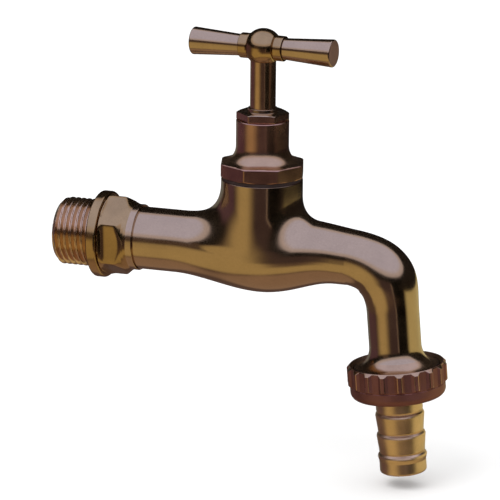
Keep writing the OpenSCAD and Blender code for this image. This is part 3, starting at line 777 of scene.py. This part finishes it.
# Each finish: what makes it, its tint, and the values that it is made with.
FINISHES = {
    # Cast, ground and buffed: near mirror, with slow ripples left by the buffing.
    "polished_cast_bronze": (
        lacquered_bronze, "cast", dict(roughness=0.15, grain=0.0003, wave=0.003, mottle=0.05)),
    # Turned and lacquered: a little duller and redder, with the tool's fine rings. On the union nut's ridge edges
    # it is a painted highlight.
    "turned_lacquered_bronze": (
        lacquered_bronze, "turned", dict(roughness=0.24, grain=0.0004, turned=0.0005)),
    # Machined faces: more golden than the casting, with the tool's grain.
    "golden_machined_bronze": (
        lacquered_bronze, "golden", dict(roughness=0.16, grain=0.0012, wave=0.003)),
    # Flares and shaft, turned with a fine feed: pale gold with soft edges. On the bonnet's flare and flange top,
    # and on the union nut's lower cone, this paler copy of the finish beside it is also a painted highlight.
    "golden_turned_bronze": (
        lacquered_bronze, "flare", dict(roughness=0.21, grain=0.0004, turned=0.0004)),
    # Cut thread: coppery and a little rough.
    "cut_thread_bronze": (
        lacquered_bronze, "copper", dict(roughness=0.19, grain=0.0008)),
    # The hose tail, brushed and not buffed: soft broad reflections.
    "satin_cast_bronze": (
        lacquered_bronze, "satin", dict(roughness=0.32, grain=0.0012)),
    # Faced off and not buffed: a dull brown that mirrors nothing sharply.
    "faced_bar_end_bronze": (
        lacquered_bronze, "faced", dict(roughness=0.62, grain=0.0012)),
    # Dipped but not polished: dark, reddish and dull, with a grain.
    "matt_dark_bronze": (
        lacquered_bronze, "dark", dict(roughness=0.55, grain=0.003, wave=0.004)),
    # Cored and left as cast: dark and rough.
    "raw_bore_bronze": (
        lacquered_bronze, "bore", dict(roughness=0.5, grain=0.01, wave=0.02)),
    # Turned brass, neither polished nor lacquered.
    "bare_brass": (
        matt_solid, "brass", dict(roughness=0.35, grain=0.001, size=0.4, metallic=1.0)),
    # Pressed dark fibre, which also stands as painted shade for the shadow line under the bonnet's flange: dull,
    # with a faint felted grain.
    "vulcanised_fibre": (
        matt_solid, "fibre", dict(roughness=0.7, grain=0.01, size=0.3)),
    # Moulded rubber: black and nearly matt.
    "moulded_rubber": (
        matt_solid, "rubber", dict(roughness=0.6, grain=0.004, size=0.25)),
    # Braided packing, soaked in graphite grease: dark grey with a low sheen.
    "graphited_packing": (
        matt_solid, "graphite", dict(roughness=0.45, grain=0.02, size=0.5)),
}


def finish_named(name):
    """The finish of that name, made the first time it is asked for."""
    if name not in bpy.data.materials:
        maker, tint, values = FINISHES[name]
        maker(name, getattr(bpy.context.scene.bib_finish, tint), **values)
    return bpy.data.materials[name]


# ---------------------------------------------------------------- pieces

class BIB_OT_tap_body(bpy.types.Operator):
    """Cast body with its turned and threaded ends"""
    bl_idname = "bib.tap_body"
    bl_label = "Tap body"

    flare_s = -5.6
    thread_s = 0.8
    face_s = 5.6
    finishes = ("polished_cast_bronze", "golden_machined_bronze", "raw_bore_bronze",
                "cut_thread_bronze", "golden_turned_bronze")
    POLISHED, MACHINED, BORE, CUT, TURNED = range(5)

    def inlet_end(self, inlet):
        """Thread, shoulder, hexagon, collar and groove."""
        thread_r = MOUNTS["inlet_thread"]["dims"]["r_mm"]
        hex_end = inlet.shoulder_t + inlet.hex_len
        collar_end = hex_end + inlet.collar_len
        corner_r = corner_radius(6, inlet.hex_af)
        turn = radians(2)
        lip = inlet.bore_r - 0.01
        outline = rounded([
            (lip, 3 - inlet.thread_len), (lip, 0.4 - inlet.thread_len),
            (lip + 0.4, -inlet.thread_len, 0.1), (thread_r - 1.4, -inlet.thread_len, 0.2),
            (thread_r, 1.4 - inlet.thread_len), (thread_r, 0),
            (inlet.shoulder_r, 0, 0.6), (inlet.shoulder_r, inlet.shoulder_t, 1.0),
            (corner_r - 0.7, inlet.shoulder_t), (corner_r, inlet.shoulder_t + 0.4, 0.1),
            (corner_r, hex_end - 2.7, 1.2), (inlet.hex_af / 2, hex_end - 0.9, 0.5),
            (inlet.collar_r + 0.3, hex_end - 0.2, 0.5), (inlet.collar_r, hex_end + 0.5, 0.3),
            (inlet.collar_r, collar_end, 0.2),
            (inlet.collar_r - 0.9, collar_end), (inlet.collar_r - 0.9, collar_end + inlet.groove_w),
            (inlet.collar_r - 0.62, collar_end + inlet.groove_w)])
        outline = dense(outline, PIPE_PITCH / 18, -inlet.thread_len, 0)
        outline = dense(outline, 0.4, inlet.shoulder_t, hex_end)
        thread = screw(thread_r, PIPE_PITCH, PIPE_THREAD_DEPTH, -inlet.thread_len, 0)
        hexagon = flats(6, inlet.hex_af, turn, inlet.shoulder_t + 0.01, hex_end + 0.01,
                        edge=0.8, foot=2.3)
        height = outline[:-1, 1]
        ring = np.where(height < 0, self.CUT,
                        np.where(height < hex_end + 0.2, self.MACHINED, self.POLISHED))
        return lathe(outline, flat_angles(6, turn, 144),
                     lambda r, s, a: hexagon(thread(r, s, a), s, a), ring, along_pipe())

    def chimney_rim(self, size):
        """Rim that the bonnet's gasket lies on."""
        top, mouth_r, bore_r = size.chimney_top, 10.9, 9.96
        outline = rounded([(size.chimney_r - 0.01, top - 0.9), (size.chimney_r, top - RIM_H),
                           (size.chimney_r, top, 0.12), (mouth_r, top), (bore_r, top - 0.9),
                           (bore_r, top - 1.6)])
        return lathe(outline, finish=self.POLISHED, place=on_spindle())

    def spout_end(self, size):
        """Flare and thread at the foot of the spout."""
        thread_r, bore_r = 13.22, 5.3
        # Beyond this radius the flare is turned golden, and the thread is cut.
        wide_r = 9
        flare = quarter((size.leg_r, self.flare_s), (thread_r - 0.2, self.thread_s - 0.1),
                        (size.leg_r, self.thread_s - 0.1), 16)
        outline = [(size.leg_r - 0.01, self.flare_s - 0.4), *flare,
                   (thread_r, self.thread_s + 0.3), (thread_r, self.face_s - 0.8),
                   (thread_r - 0.8, self.face_s, 0.1), (bore_r, self.face_s, 0.3),
                   (bore_r - 0.01, self.flare_s + 3)]
        outline = dense(rounded(outline), PIPE_PITCH / 12, self.thread_s, self.face_s)
        thread = screw(thread_r, PIPE_PITCH, PIPE_THREAD_DEPTH, self.thread_s, self.face_s + 1)
        flared = (outline[:-1, 1] < self.thread_s - 0.2) & (outline[:-1, 0] > wide_r)
        return lathe(outline, 128, lambda r, s, a: np.where(r > wide_r, thread(r, s, a), r),
                     np.where(flared, self.TURNED, self.POLISHED), on_outlet())

    def execute(self, context):
        size = in_mm(context.scene.bib_casting)
        inlet = in_mm(context.scene.bib_inlet)
        casting, skin = cast_skin(size, inlet, self.flare_s)
        shells = [skin, self.inlet_end(inlet), self.chimney_rim(size), self.spout_end(size),
                  waterway(casting, inlet, size, self.flare_s, self.BORE)]
        make_piece("cast_body", shells, self.finishes, "housing", "tap_body")
        return {"FINISHED"}


class BIB_OT_bonnet(bpy.types.Operator):
    """Bonnet with its octagonal flange, and the gland nut on top"""
    bl_idname = "bib.bonnet"
    bl_label = "Bonnet and gland nut"

    skirt_r = 9.9
    skirt_end = 15.0
    box_r = 6.3
    box_floor = 28.4
    lift_bore_r = 5.26
    lift_bore_end = 25.8

    def bonnet(self, size):
        """Flange, flared neck with the stuffing box, and threaded skirt."""
        top_z = size.flange_z + size.flange_t
        corner_r = corner_radius(8, size.octagon_af)
        turn = radians(-5.4)
        hole_r = size.shaft_r + RUNNING_GAP
        flare = quarter((size.neck_r + 4.1, top_z + 0.1), (size.neck_r, top_z + 5),
                        (size.neck_r, top_z), 16)
        outline = [(self.lift_bore_r, self.skirt_end), (self.skirt_r - 0.8, self.skirt_end),
                   (self.skirt_r, self.skirt_end + 0.8), (self.skirt_r, size.flange_z),
                   (corner_r - 1.02, size.flange_z), (corner_r, size.flange_z + 0.6, 0.15),
                   (corner_r, top_z - 0.3, 0.1), (corner_r - 0.4, top_z, 0.1), *flare,
                   (size.neck_r, size.top - 0.2, 0.1), (size.neck_r - 0.2, size.top, 0.1),
                   (self.box_r, size.top), (self.box_r, self.box_floor),
                   (hole_r, self.box_floor), (hole_r, self.lift_bore_end),
                   (self.lift_bore_r, self.lift_bore_end), (self.lift_bore_r, self.skirt_end)]
        outline = dense(rounded(outline), 0.12, self.skirt_end, size.flange_z)
        outline = dense(outline, 0.15, size.flange_z, top_z)
        thread = screw(self.skirt_r, pitch=1.5, depth=0.9, low=self.skirt_end, high=size.flange_z)
        octagon = flats(8, size.octagon_af, turn, size.flange_z - 0.01, top_z + 0.01,
                        edge=0.3, bevel=0.22)

        def form(r, s, a):
            outside = r > self.skirt_r - 1
            return np.where(outside, octagon(thread(r, s, a), s, a), r)

        height = outline[:-1, 1]
        # Painted highlight: the flange's top and the flare, which mirror the overhead light, take a paler copy of
        # the bonnet's turned finish.
        golden = (height > top_z - 0.01) & (height < top_z + 4)
        shell = lathe(outline, flat_angles(8, turn, 120), form, golden.astype(int))
        finishes = ["turned_lacquered_bronze", "golden_turned_bronze"]
        return make_piece("turned_bonnet", [shell], finishes, "housing", "bonnet",
                          on_spindle())

    def gland_nut(self, size):
        """Low hexagon with an eye round the shaft and a skirt that presses on the packing."""
        turn = radians(15.5)
        corner_r = corner_radius(6, size.gland_af)
        hole_r = size.shaft_r + RUNNING_GAP
        hex_top = size.top + size.gland_h
        skirt_r, skirt_end = self.box_r - RUNNING_GAP, 36.4
        outline = rounded([
            (hole_r, skirt_end), (skirt_r, skirt_end), (skirt_r, size.top),
            (corner_r, size.top, 0.05), (corner_r, hex_top - 0.4, 0.2),
            (corner_r - 1.0, hex_top, 0.1), (size.shaft_r + 0.75, hex_top, 0.1),
            (size.shaft_r + 0.65, hex_top + size.eye_h, 0.12), (hole_r, hex_top + size.eye_h),
            (hole_r, skirt_end)])
        outline = dense(outline, 0.12, size.top, hex_top)
        hexagon = flats(6, size.gland_af, turn, size.top - 0.01, hex_top + 0.01,
                        edge=0.3, bevel=0.25)
        polished = outline[:-1, 1] > hex_top - 0.45
        shell = lathe(outline, flat_angles(6, turn, 96), hexagon, polished.astype(int))
        finishes = ["turned_lacquered_bronze", "polished_cast_bronze"]
        return make_piece("hex_gland_nut", [shell], finishes, "housing", "gland_nut",
                          on_spindle())

    def execute(self, context):
        size = in_mm(context.scene.bib_bonnet)
        self.bonnet(size)
        self.gland_nut(size)
        return {"FINISHED"}


class BIB_OT_spindle(bpy.types.Operator):
    """Spindle with its polished shaft, tenon and lifting thread"""
    bl_idname = "bib.spindle"
    bl_label = "Spindle"

    def execute(self, context):
        size = in_mm(context.scene.bib_bonnet)
        handle = in_mm(context.scene.bib_handle)
        thread_r, stem_r, tenon_r = 5.2, 3.06, 2.6
        low, stem_top, thread_top = 8.45, 17.95, 19.7
        shaft_top = HANDLE_Z - half_chord(handle.ball_r, size.shaft_r)
        tenon_top = HANDLE_Z + 2.6
        # The hole in the foot is narrower than this, and has no thread.
        hole_limit = 3.5
        outline = rounded([
            (0, stem_top), (stem_r, stem_top), (stem_r, low), (thread_r - 0.7, low),
            (thread_r, low + 0.7), (thread_r, thread_top), (size.shaft_r, thread_top + 0.5),
            (size.shaft_r, shaft_top), (tenon_r, shaft_top), (tenon_r, tenon_top - 0.4),
            (tenon_r - 0.4, tenon_top), (0, tenon_top)])
        outline = dense(outline, 0.14, low, thread_top)
        thread = screw(thread_r, pitch=2.0, depth=1.0, low=low, high=thread_top)
        shell = lathe(outline, 96, lambda r, s, a: np.where(r > hole_limit, thread(r, s, a), r))
        make_piece("screwed_spindle", [shell], ["golden_turned_bronze"],
                   "handle", "spindle", on_spindle())
        return {"FINISHED"}


class BIB_OT_handle(bpy.types.Operator):
    """Handle bar: a ball with a collar on each side, and two conical arms"""
    bl_idname = "bib.handle"
    bl_label = "Handle"

    collar_end = 7.1
    spigot_r = 1.3

    def hub(self, size, shaft_r):
        """Ball and collars, with the ball cut flat where it sits on the shaft."""
        collar_r = size.root_r + 0.6
        bore_r = self.spigot_r + RUNNING_GAP
        meet = half_chord(size.ball_r, collar_r)
        swing = acos(meet / size.ball_r)
        ball = [(size.ball_r * sin(t), -size.ball_r * cos(t))
                for t in np.linspace(swing + 0.03, pi - swing - 0.03, 40)]
        outline = rounded([
            (bore_r, -self.collar_end), (collar_r, -self.collar_end, 0.25),
            (collar_r, -meet - 0.35, 0.15), (collar_r - 0.25, -meet + 0.05), *ball,
            (collar_r - 0.25, meet - 0.05), (collar_r, meet + 0.35, 0.15),
            (collar_r, self.collar_end, 0.25), (bore_r, self.collar_end),
            (bore_r, -self.collar_end)])
        shell = lathe(outline, 128)
        shell.points[:, 0] = np.minimum(shell.points[:, 0], half_chord(size.ball_r, shaft_r))
        make_piece("ball_hub", [shell], ["golden_machined_bronze"], "handle",
                   "handle_hub", on_bar(size.rest_turn, 1))

    def arm(self, size, side, name, replaced):
        """Cone that widens outwards, with the spigot that holds it in the hub."""
        outline = rounded([
            (0, 1.2), (self.spigot_r - 0.3, 1.2), (self.spigot_r, 1.5),
            (self.spigot_r, self.collar_end), (size.root_r, self.collar_end, 0.12),
            (size.end_r, size.half_len, 0.45), (0, size.half_len)])
        faced = outline[:-1, 1] > size.half_len - 0.1
        piece = make_piece(name, [lathe(outline, 96, finish=faced.astype(int))],
                           ["polished_cast_bronze", "faced_bar_end_bronze"],
                           "handle", replaced, on_bar(size.rest_turn, side))
        # The bar would draw a dark streak along the polished arm below it.
        piece.visible_glossy = False

    def execute(self, context):
        size = in_mm(context.scene.bib_handle)
        self.hub(size, in_mm(context.scene.bib_bonnet).shaft_r)
        self.arm(size, 1, "bar_end_right", "handle_arm_right")
        self.arm(size, -1, "bar_end_left", "handle_arm_left")
        return {"FINISHED"}


class BIB_OT_union_nut(bpy.types.Operator):
    """Union nut with its grip ridges"""
    bl_idname = "bib.union_nut"
    bl_label = "Union nut"

    half_foot = 1.45
    half_crest = 0.55

    def ridge_angles(self, count):
        """Angles close together over each ridge's edges."""
        near = radians(1) * np.array([0, 1.4, 1.9, 2.3, 2.9, 4, 5, 5.5, 6, 6.6, 8])
        near = np.concatenate([-near[:0:-1], near])
        return np.sort(np.concatenate([
            (2 * pi * (k + 0.5) / count + near) % (2 * pi) for k in range(count)]
            + [[2 * pi * k / count for k in range(count)]]))

    def execute(self, context):
        size = in_mm(context.scene.bib_union)
        wall_r, mouth_r, hole_r = 13.28, 14.2, 7.21
        floor_s = size.nut_h - 1.7
        proud = size.crest_r - size.root_r
        foot = size.root_r - 0.1
        edge = 2.2
        cone_low, cone_high = 0.06, proud + 0.2
        outline = rounded([
            (mouth_r, 0), (foot - 0.3, 0), (foot - 0.05, 0), (foot, cone_low),
            (size.crest_r, cone_high, 0.15),
            (size.crest_r, size.ridge_len - 0.7, 0.15), (foot, size.ridge_len),
            (size.root_r, size.ridge_len + 0.12, 0.05),
            *quarter((size.root_r, size.nut_h - edge), (size.root_r - edge, size.nut_h),
                     (size.root_r, size.nut_h), 12),
            (hole_r, size.nut_h, 0.15), (hole_r, floor_s), (wall_r, floor_s), (wall_r, 0.8),
            (mouth_r, 0)])
        outline = dense(outline, 0.35, cone_low, size.ridge_len)
        step = 2 * pi / size.ridges

        def form(r, s, a):
            aside = np.abs((a % step) - step / 2) * size.root_r
            slope = proud / (self.half_foot - self.half_crest)
            ridge = np.minimum(size.crest_r + 0.1, size.crest_r - (aside - self.half_crest) * slope)
            ridge = soft_min(ridge, size.crest_r + 0 * a, 0.25) + 0.02
            limit = np.maximum(ridge, size.root_r)
            return np.where(r > wall_r + 1, np.minimum(r, limit), r)

        shell = lathe(outline, self.ridge_angles(size.ridges), form)
        middle = shell.points[shell.faces].mean(axis=1)
        far, s = np.hypot(middle[:, 0], middle[:, 1]), middle[:, 2]
        cone = foot + (size.crest_r - foot) * (s - cone_low) / (cone_high - cone_low)
        # Painted highlight: the cone under the ridges and a thin strip along each ridge's edges take paler,
        # glossier finishes than the matt nut, for the light that they catch.
        painted_highlight_cone = (far > np.maximum(cone - 0.06, foot - 0.3)) & (s < proud + 0.25)
        aside = np.abs(np.arctan2(middle[:, 1], middle[:, 0]) % step - step / 2) * size.root_r
        painted_edge_highlight = ((np.abs(aside - self.half_crest) < 0.12) & (far > size.crest_r - 0.15)
                     & (s < size.ridge_len - 0.4))
        inside = (far < mouth_r + 0.05) & (s < floor_s + 0.05)
        matt, golden, raw, turned = range(4)
        shell = shell._replace(finish=np.select([inside, painted_highlight_cone, painted_edge_highlight],
                                                [raw, golden, turned], matt))
        make_piece("ridged_union_nut", [shell],
                   ["matt_dark_bronze", "golden_turned_bronze",
                    "raw_bore_bronze", "turned_lacquered_bronze"],
                   "coupling_nut", "union_nut", on_outlet())
        return {"FINISHED"}


class BIB_OT_hose_tail(bpy.types.Operator):
    """Hose tail with three barbs"""
    bl_idname = "bib.hose_tail"
    bl_label = "Hose tail"

    def execute(self, context):
        size = in_mm(context.scene.bib_union)
        head_r, head_s, seat_s = 12.87, 7.2, 8.7
        neck_r, root_r = size.barb_r - 0.35, size.barb_r - 0.5
        first, last = 14.9, size.tail_reach - 6.4
        outline = [(size.tail_bore_r, head_s), (head_r, head_s, 0.15), (head_r, seat_s, 0.1),
                   (neck_r, seat_s)]
        barbs = [first + (last - first) * i / 2 for i in range(3)]
        for i, s in enumerate(barbs):
            before = neck_r if i == 0 else root_r
            outline += [(before, s - 0.5, 0.2), (before - 0.2, s + 0.05, 0.15),
                        (size.barb_r - 0.15, s + 0.6, 0.15), (size.barb_r, s + 1.1, 0.3),
                        (size.barb_r - 0.06, s + 1.5, 0.2)]
            outline.append((root_r, barbs[i + 1] - 0.8) if i < 2 else (neck_r, s + 2.6, 0.3))
        outline += [(neck_r, size.tail_reach, 1.3), (size.tail_bore_r + 0.3, size.tail_reach, 0.2),
                    (size.tail_bore_r, size.tail_reach - 0.5), (size.tail_bore_r, head_s)]
        make_piece("barbed_hose_tail", [lathe(rounded(outline), 128)],
                   ["satin_cast_bronze"], "tail", "hose_tail",
                   on_outlet())
        return {"FINISHED"}


class BIB_OT_inner_pieces(bpy.types.Operator):
    """Finishes of the pieces inside the tap, whose shapes are the frame's own"""
    bl_idname = "bib.inner_pieces"
    bl_label = "Inner pieces"

    finishes = {
        # The bonnet's gasket is painted shade as well as fibre: its dark band stands for the shadow line under the
        # flange.
        "vulcanised_fibre": ("bonnet_gasket", "union_washer"),
        "moulded_rubber": ("valve_washer",),
        "graphited_packing": ("packing_ring_lower", "packing_ring_middle", "packing_ring_upper"),
        "bare_brass": ("packing_washer", "gland_follower", "jumper", "washer_nut"),
    }

    def execute(self, context):
        for name, nodes in self.finishes.items():
            for node in nodes:
                mesh = frame["nodes"][node].data
                mesh.materials.clear()
                mesh.materials.append(finish_named(name))
        return {"FINISHED"}


# ---------------------------------------------------------------- studio

class BIB_PG_studio(bpy.types.PropertyGroup):
    """Camera and floor."""
    azimuth: FloatProperty(name="Azimuth", description="Camera round the tap, from the front",
                           default=radians(19.137), unit="ROTATION")
    elevation: FloatProperty(name="Elevation", description="Camera above the horizon",
                             default=radians(14.637), unit="ROTATION")
    roll: FloatProperty(name="Roll", description="Turn of the camera about its view",
                        default=radians(0.548), unit="ROTATION")
    distance: length("Distance", "From the camera to what it looks at", 1079.6)
    lens: FloatProperty(name="Lens", description="Focal length in millimetres on a 36 mm sensor",
                        default=254.5, min=20.0)
    floor_gap: length("Floor gap", "Room between the tail's end and the floor", 4.0)


# Boards round the tap: azimuth of the middle, half width and softness, then lowest and highest
# edge and softness, all in degrees, then linear light. Azimuth 0 is at the front and 90 on the
# spout's side. Each board lies over those before it.
GOLD = (0.57, 0.47, 0.25)
BOARDS = (
    (42, 113, 10, -53, -32, 8, GOLD),
    (-31, 29, 20, -53, -20, 8, GOLD),
    (-20, 62, 10, -21, 0, 8, (0.07, 0.048, 0.055)),
    (54, 22, 10, -21, 12, 6, (0.001, 0.001, 0.001)),
    (33, 1.5, 1.2, -21, -3, 5, (0.36, 0.30, 0.30)),
    (-90, 24, 14, -21, 4, 8, (0.12, 0.07, 0.11)),
    (-132, 12, 8, -22, 4, 6, (0.20, 0.21, 0.20)),
    (-33.5, 21.5, 30, -27, -4, 12, GOLD),
    (-27, 12, 8, 0, 12, 4, (0.10, 0.07, 0.06)),
    (-8, 9, 8, 8, 23, 4, (0.02, 0.015, 0.015)),
)
# Lights that go all the way round, with lowest and highest edge and softness in degrees: the one
# from straight below, and the dark band that boards and overhead light lie over.
NADIR_EDGES = (-99, -57, 8)
NADIR_LIGHT = (0.38, 0.28, 0.22)
BAND_EDGES = (-3, 91, 4)
BAND_LIGHT = (0.010, 0.008, 0.008)
BELOW_LIGHT = (0.13, 0.09, 0.08)
# The overhead light's lower edge is this many degrees up at the azimuth that it faces. It rises
# away from there, by four times the climb on the far side.
OVERHEAD_FRONT = 10.0
OVERHEAD_LOW = 14.0
OVERHEAD_CLIMB = 11.0
# Degrees over that edge, and softness, of its lowest part, which is warmer, and of the rest.
OVERHEAD_RIM_EDGES = (0, 200, 4)
OVERHEAD_RIM_LIGHT = (0.66, 0.66, 0.88)
OVERHEAD_EDGES = (11, 200, 9)
OVERHEAD_LIGHT = (0.70, 0.80, 1.38)
ROOM_STRENGTH = 1.15
# What the camera looks at, in millimetres, and the key light's place from there, in metres.
LOOKED_AT = (49.044, 0, -0.757)
KEY_PLACE = (-0.5, -0.9, 1.3)


def between(tree, value, low, high, soft):
    """1 between low and high, falling to 0 over the softness."""
    rise = add(tree, "ShaderNodeMapRange", {"interpolation_type": "SMOOTHSTEP"},
               {"Value": value}, From_Min=low - soft / 2, From_Max=low + soft / 2)
    fall = add(tree, "ShaderNodeMapRange", {"interpolation_type": "SMOOTHSTEP"},
               {"Value": value}, From_Min=high + soft / 2, From_Max=high - soft / 2)
    return math(tree, "MULTIPLY", rise.outputs[0], fall.outputs[0])


def laid_over(tree, below, mask, light):
    """A light laid over what is below it, where the mask is 1."""
    mix = add(tree, "ShaderNodeMix", {"data_type": "RGBA"}, {"Factor": mask})
    tree.links.new(below, mix.inputs["A"])
    mix.inputs["B"].default_value = (*light, 1)
    return mix.outputs["Result"]


def studio_world():
    """White room for the eye; boards and a softbox round the tap for its reflections."""
    world = bpy.data.worlds.new("studio")
    bpy.context.scene.world = world
    world.use_nodes = True
    tree = world.node_tree
    tree.nodes.clear()
    where = add(tree, "ShaderNodeTexCoord").outputs["Generated"]
    place = add(tree, "ShaderNodeSeparateXYZ", links={"Vector": where})
    x, y, z = place.outputs
    rise = math(tree, "MULTIPLY", math(tree, "ARCSINE", z), 180 / pi)
    around = math(tree, "MULTIPLY",
                  math(tree, "ARCTAN2", x, math(tree, "MULTIPLY", y, -1.0)), 180 / pi)
    plain = add(tree, "ShaderNodeRGB")
    plain.outputs[0].default_value = (*BELOW_LIGHT, 1)
    light = laid_over(tree, plain.outputs[0], between(tree, rise, *NADIR_EDGES), NADIR_LIGHT)
    light = laid_over(tree, light, between(tree, rise, *BAND_EDGES), BAND_LIGHT)
    for middle, half, soft_side, low, high, soft, shade in BOARDS:
        off = math(tree, "ABSOLUTE", math(tree, "WRAP", math(tree, "SUBTRACT", around, middle),
                                          -180.0, 180.0))
        mask = math(tree, "MULTIPLY", between(tree, off, -soft_side, half, soft_side),
                    between(tree, rise, low, high, soft))
        light = laid_over(tree, light, mask, shade)
    off_front = math(tree, "SUBTRACT", around, OVERHEAD_FRONT)
    turned = math(tree, "COSINE", math(tree, "MULTIPLY", off_front, pi / 180))
    lift = math(tree, "POWER", math(tree, "SUBTRACT", 1.0, turned), 2.0)
    edge = math(tree, "ADD", math(tree, "MULTIPLY", lift, OVERHEAD_CLIMB), OVERHEAD_LOW)
    above = math(tree, "SUBTRACT", rise, edge)
    light = laid_over(tree, light, between(tree, above, *OVERHEAD_RIM_EDGES), OVERHEAD_RIM_LIGHT)
    light = laid_over(tree, light, between(tree, above, *OVERHEAD_EDGES), OVERHEAD_LIGHT)
    path = add(tree, "ShaderNodeLightPath")
    mirrored = add(tree, "ShaderNodeBackground", links={"Color": light}, Strength=1.0)
    room = add(tree, "ShaderNodeBackground", Color=(1, 1, 1, 1), Strength=ROOM_STRENGTH)
    both = add(tree, "ShaderNodeMixShader", links={"Fac": path.outputs["Is Glossy Ray"]})
    tree.links.new(room.outputs[0], both.inputs[1])
    tree.links.new(mirrored.outputs[0], both.inputs[2])
    add(tree, "ShaderNodeOutputWorld", links={"Surface": both})


def white_floor(gap):
    """Large white floor just under the tail's end."""
    lowest = cad_box[0].z - gap * MM
    half = 3.0
    corners = [(x, y, lowest) for x, y in ((-half, -half), (half, -half), (half, half), (-half, half))]
    mesh = bpy.data.meshes.new("floor")
    mesh.from_pydata(corners, [], [(0, 1, 2, 3)])
    material, tree, output = new_finish("white_card")
    card = add(tree, "ShaderNodeBsdfDiffuse", Color=(0.9, 0.9, 0.9, 1))
    tree.links.new(card.outputs[0], output.inputs["Surface"])
    mesh.materials.append(material)
    floor = bpy.data.objects.new("floor", mesh)
    floor.visible_glossy = False
    bpy.context.scene.collection.objects.link(floor)


def bent_card(name, light, low, high, first, last, climb, fade):
    """Card bent round the spindle's right and back, seen only by what the metal mirrors.

    first and last are its ends in degrees, counted like the boards' azimuth, and low and high
    its edges in millimetres. climb and fade are shares of its length from the first end: its top
    climbs from low to high over the one, and its light fades in over the other.
    """
    radius, columns = 150, 33
    angles = np.radians(np.linspace(first, last, columns))
    part = np.linspace(0, 1, columns)
    tops = low + (high - low) * np.minimum(part / climb, 1)
    points = [(SPINDLE_X * MM + radius * MM * sin(a), -radius * MM * cos(a), z * MM)
              for heights in (np.full(columns, low), tops) for a, z in zip(angles, heights)]
    faces = [(i, i + 1, i + columns + 1, i + columns) for i in range(columns - 1)]
    mesh = bpy.data.meshes.new(name)
    mesh.from_pydata(points, [], faces)
    strength = mesh.attributes.new("strength", "FLOAT", "POINT")
    strength.data.foreach_set("value", np.tile(np.minimum(part / fade, 1), 2))
    material, tree, output = new_finish(name)
    shade = add(tree, "ShaderNodeAttribute", {"attribute_name": "strength"})
    glow = add(tree, "ShaderNodeEmission", None, {"Strength": shade.outputs["Fac"]},
               Color=(*light, 1))
    tree.links.new(glow.outputs[0], output.inputs["Surface"])
    mesh.materials.append(material)
    card = bpy.data.objects.new(name, mesh)
    card.visible_camera = card.visible_diffuse = card.visible_shadow = False
    bpy.context.scene.collection.objects.link(card)


def key_light(target):
    """Large soft light over the front left, which only the floor shows."""
    data = bpy.data.lights.new("key", "AREA")
    data.shape, data.size, data.energy = "DISK", 1.2, 9.0
    key = bpy.data.objects.new("key", data)
    key.location = target + Vector(KEY_PLACE)
    key.rotation_euler = (target - key.location).to_track_quat("-Z", "Y").to_euler()
    key.visible_glossy = False
    bpy.context.scene.collection.objects.link(key)


class BIB_OT_stage(bpy.types.Operator):
    """White floor, soft light and the camera"""
    bl_idname = "bib.stage"
    bl_label = "Studio"

    def execute(self, context):
        studio = context.scene.bib_studio
        target = Vector(LOOKED_AT) * MM
        turn, rise = studio.azimuth, studio.elevation
        back = Vector((sin(turn) * cos(rise), -cos(turn) * cos(rise), sin(rise)))
        data = bpy.data.cameras.new("camera")
        data.lens, data.sensor_width, data.sensor_fit = studio.lens, 36.0, "HORIZONTAL"
        data.clip_start, data.clip_end = 0.01, 20.0
        camera = bpy.data.objects.new("camera", data)
        camera.location = target + back * studio.distance
        look = (-back).to_track_quat("-Z", "Y").to_matrix()
        camera.rotation_euler = (look @ Matrix.Rotation(studio.roll, 3, "Z")).to_euler()
        context.scene.collection.objects.link(camera)
        context.scene.camera = camera
        white_floor(studio.floor_gap / MM)
        bent_card("dark_card", (0.012, 0.009, 0.010), -20, 62, 60, 200, 0.44, 0.01)
        bent_card("gold_card", (0.66, 0.62, 0.35), -105, -21, 76, 160, 0.01, 0.13)
        key_light(target)
        studio_world()
        context.scene.view_settings.view_transform = "Standard"
        return {"FINISHED"}


class BIB_PT_sidebar(bpy.types.Panel):
    """Lists the tap's pieces and sizes"""
    bl_idname = "BIB_PT_sidebar"
    bl_label = "Hose bib"
    bl_space_type = "VIEW_3D"
    bl_region_type = "UI"
    bl_category = "Hose bib"

    def draw(self, context):
        for kind in OPERATORS:
            self.layout.operator(kind.bl_idname)
        for key, kind in GROUPS.items():
            box = self.layout.box()
            box.label(text=kind.__doc__.rstrip("."))
            for name in kind.__annotations__:
                box.prop(getattr(context.scene, key), name)


GROUPS = {
    "bib_casting": BIB_PG_casting,
    "bib_inlet": BIB_PG_inlet,
    "bib_bonnet": BIB_PG_bonnet,
    "bib_handle": BIB_PG_handle,
    "bib_union": BIB_PG_union,
    "bib_finish": BIB_PG_finish,
    "bib_studio": BIB_PG_studio,
}
OPERATORS = (BIB_OT_stage, BIB_OT_tap_body, BIB_OT_bonnet, BIB_OT_spindle, BIB_OT_handle,
             BIB_OT_union_nut, BIB_OT_hose_tail, BIB_OT_inner_pieces)
CLASSES = (*GROUPS.values(), *OPERATORS, BIB_PT_sidebar)


def register():
    for kind in CLASSES:
        bpy.utils.register_class(kind)
    for key, kind in GROUPS.items():
        setattr(bpy.types.Scene, key, PointerProperty(type=kind))


def unregister():
    for key in GROUPS:
        delattr(bpy.types.Scene, key)
    for kind in reversed(CLASSES):
        bpy.utils.unregister_class(kind)


def main():
    """Builds the whole scene round the frame."""
    register()
    bpy.ops.bib.stage()
    bpy.ops.bib.tap_body()
    bpy.ops.bib.bonnet()
    bpy.ops.bib.spindle()
    bpy.ops.bib.handle()
    bpy.ops.bib.union_nut()
    bpy.ops.bib.hose_tail()
    bpy.ops.bib.inner_pieces()


if __name__ == "__main__":
    main()
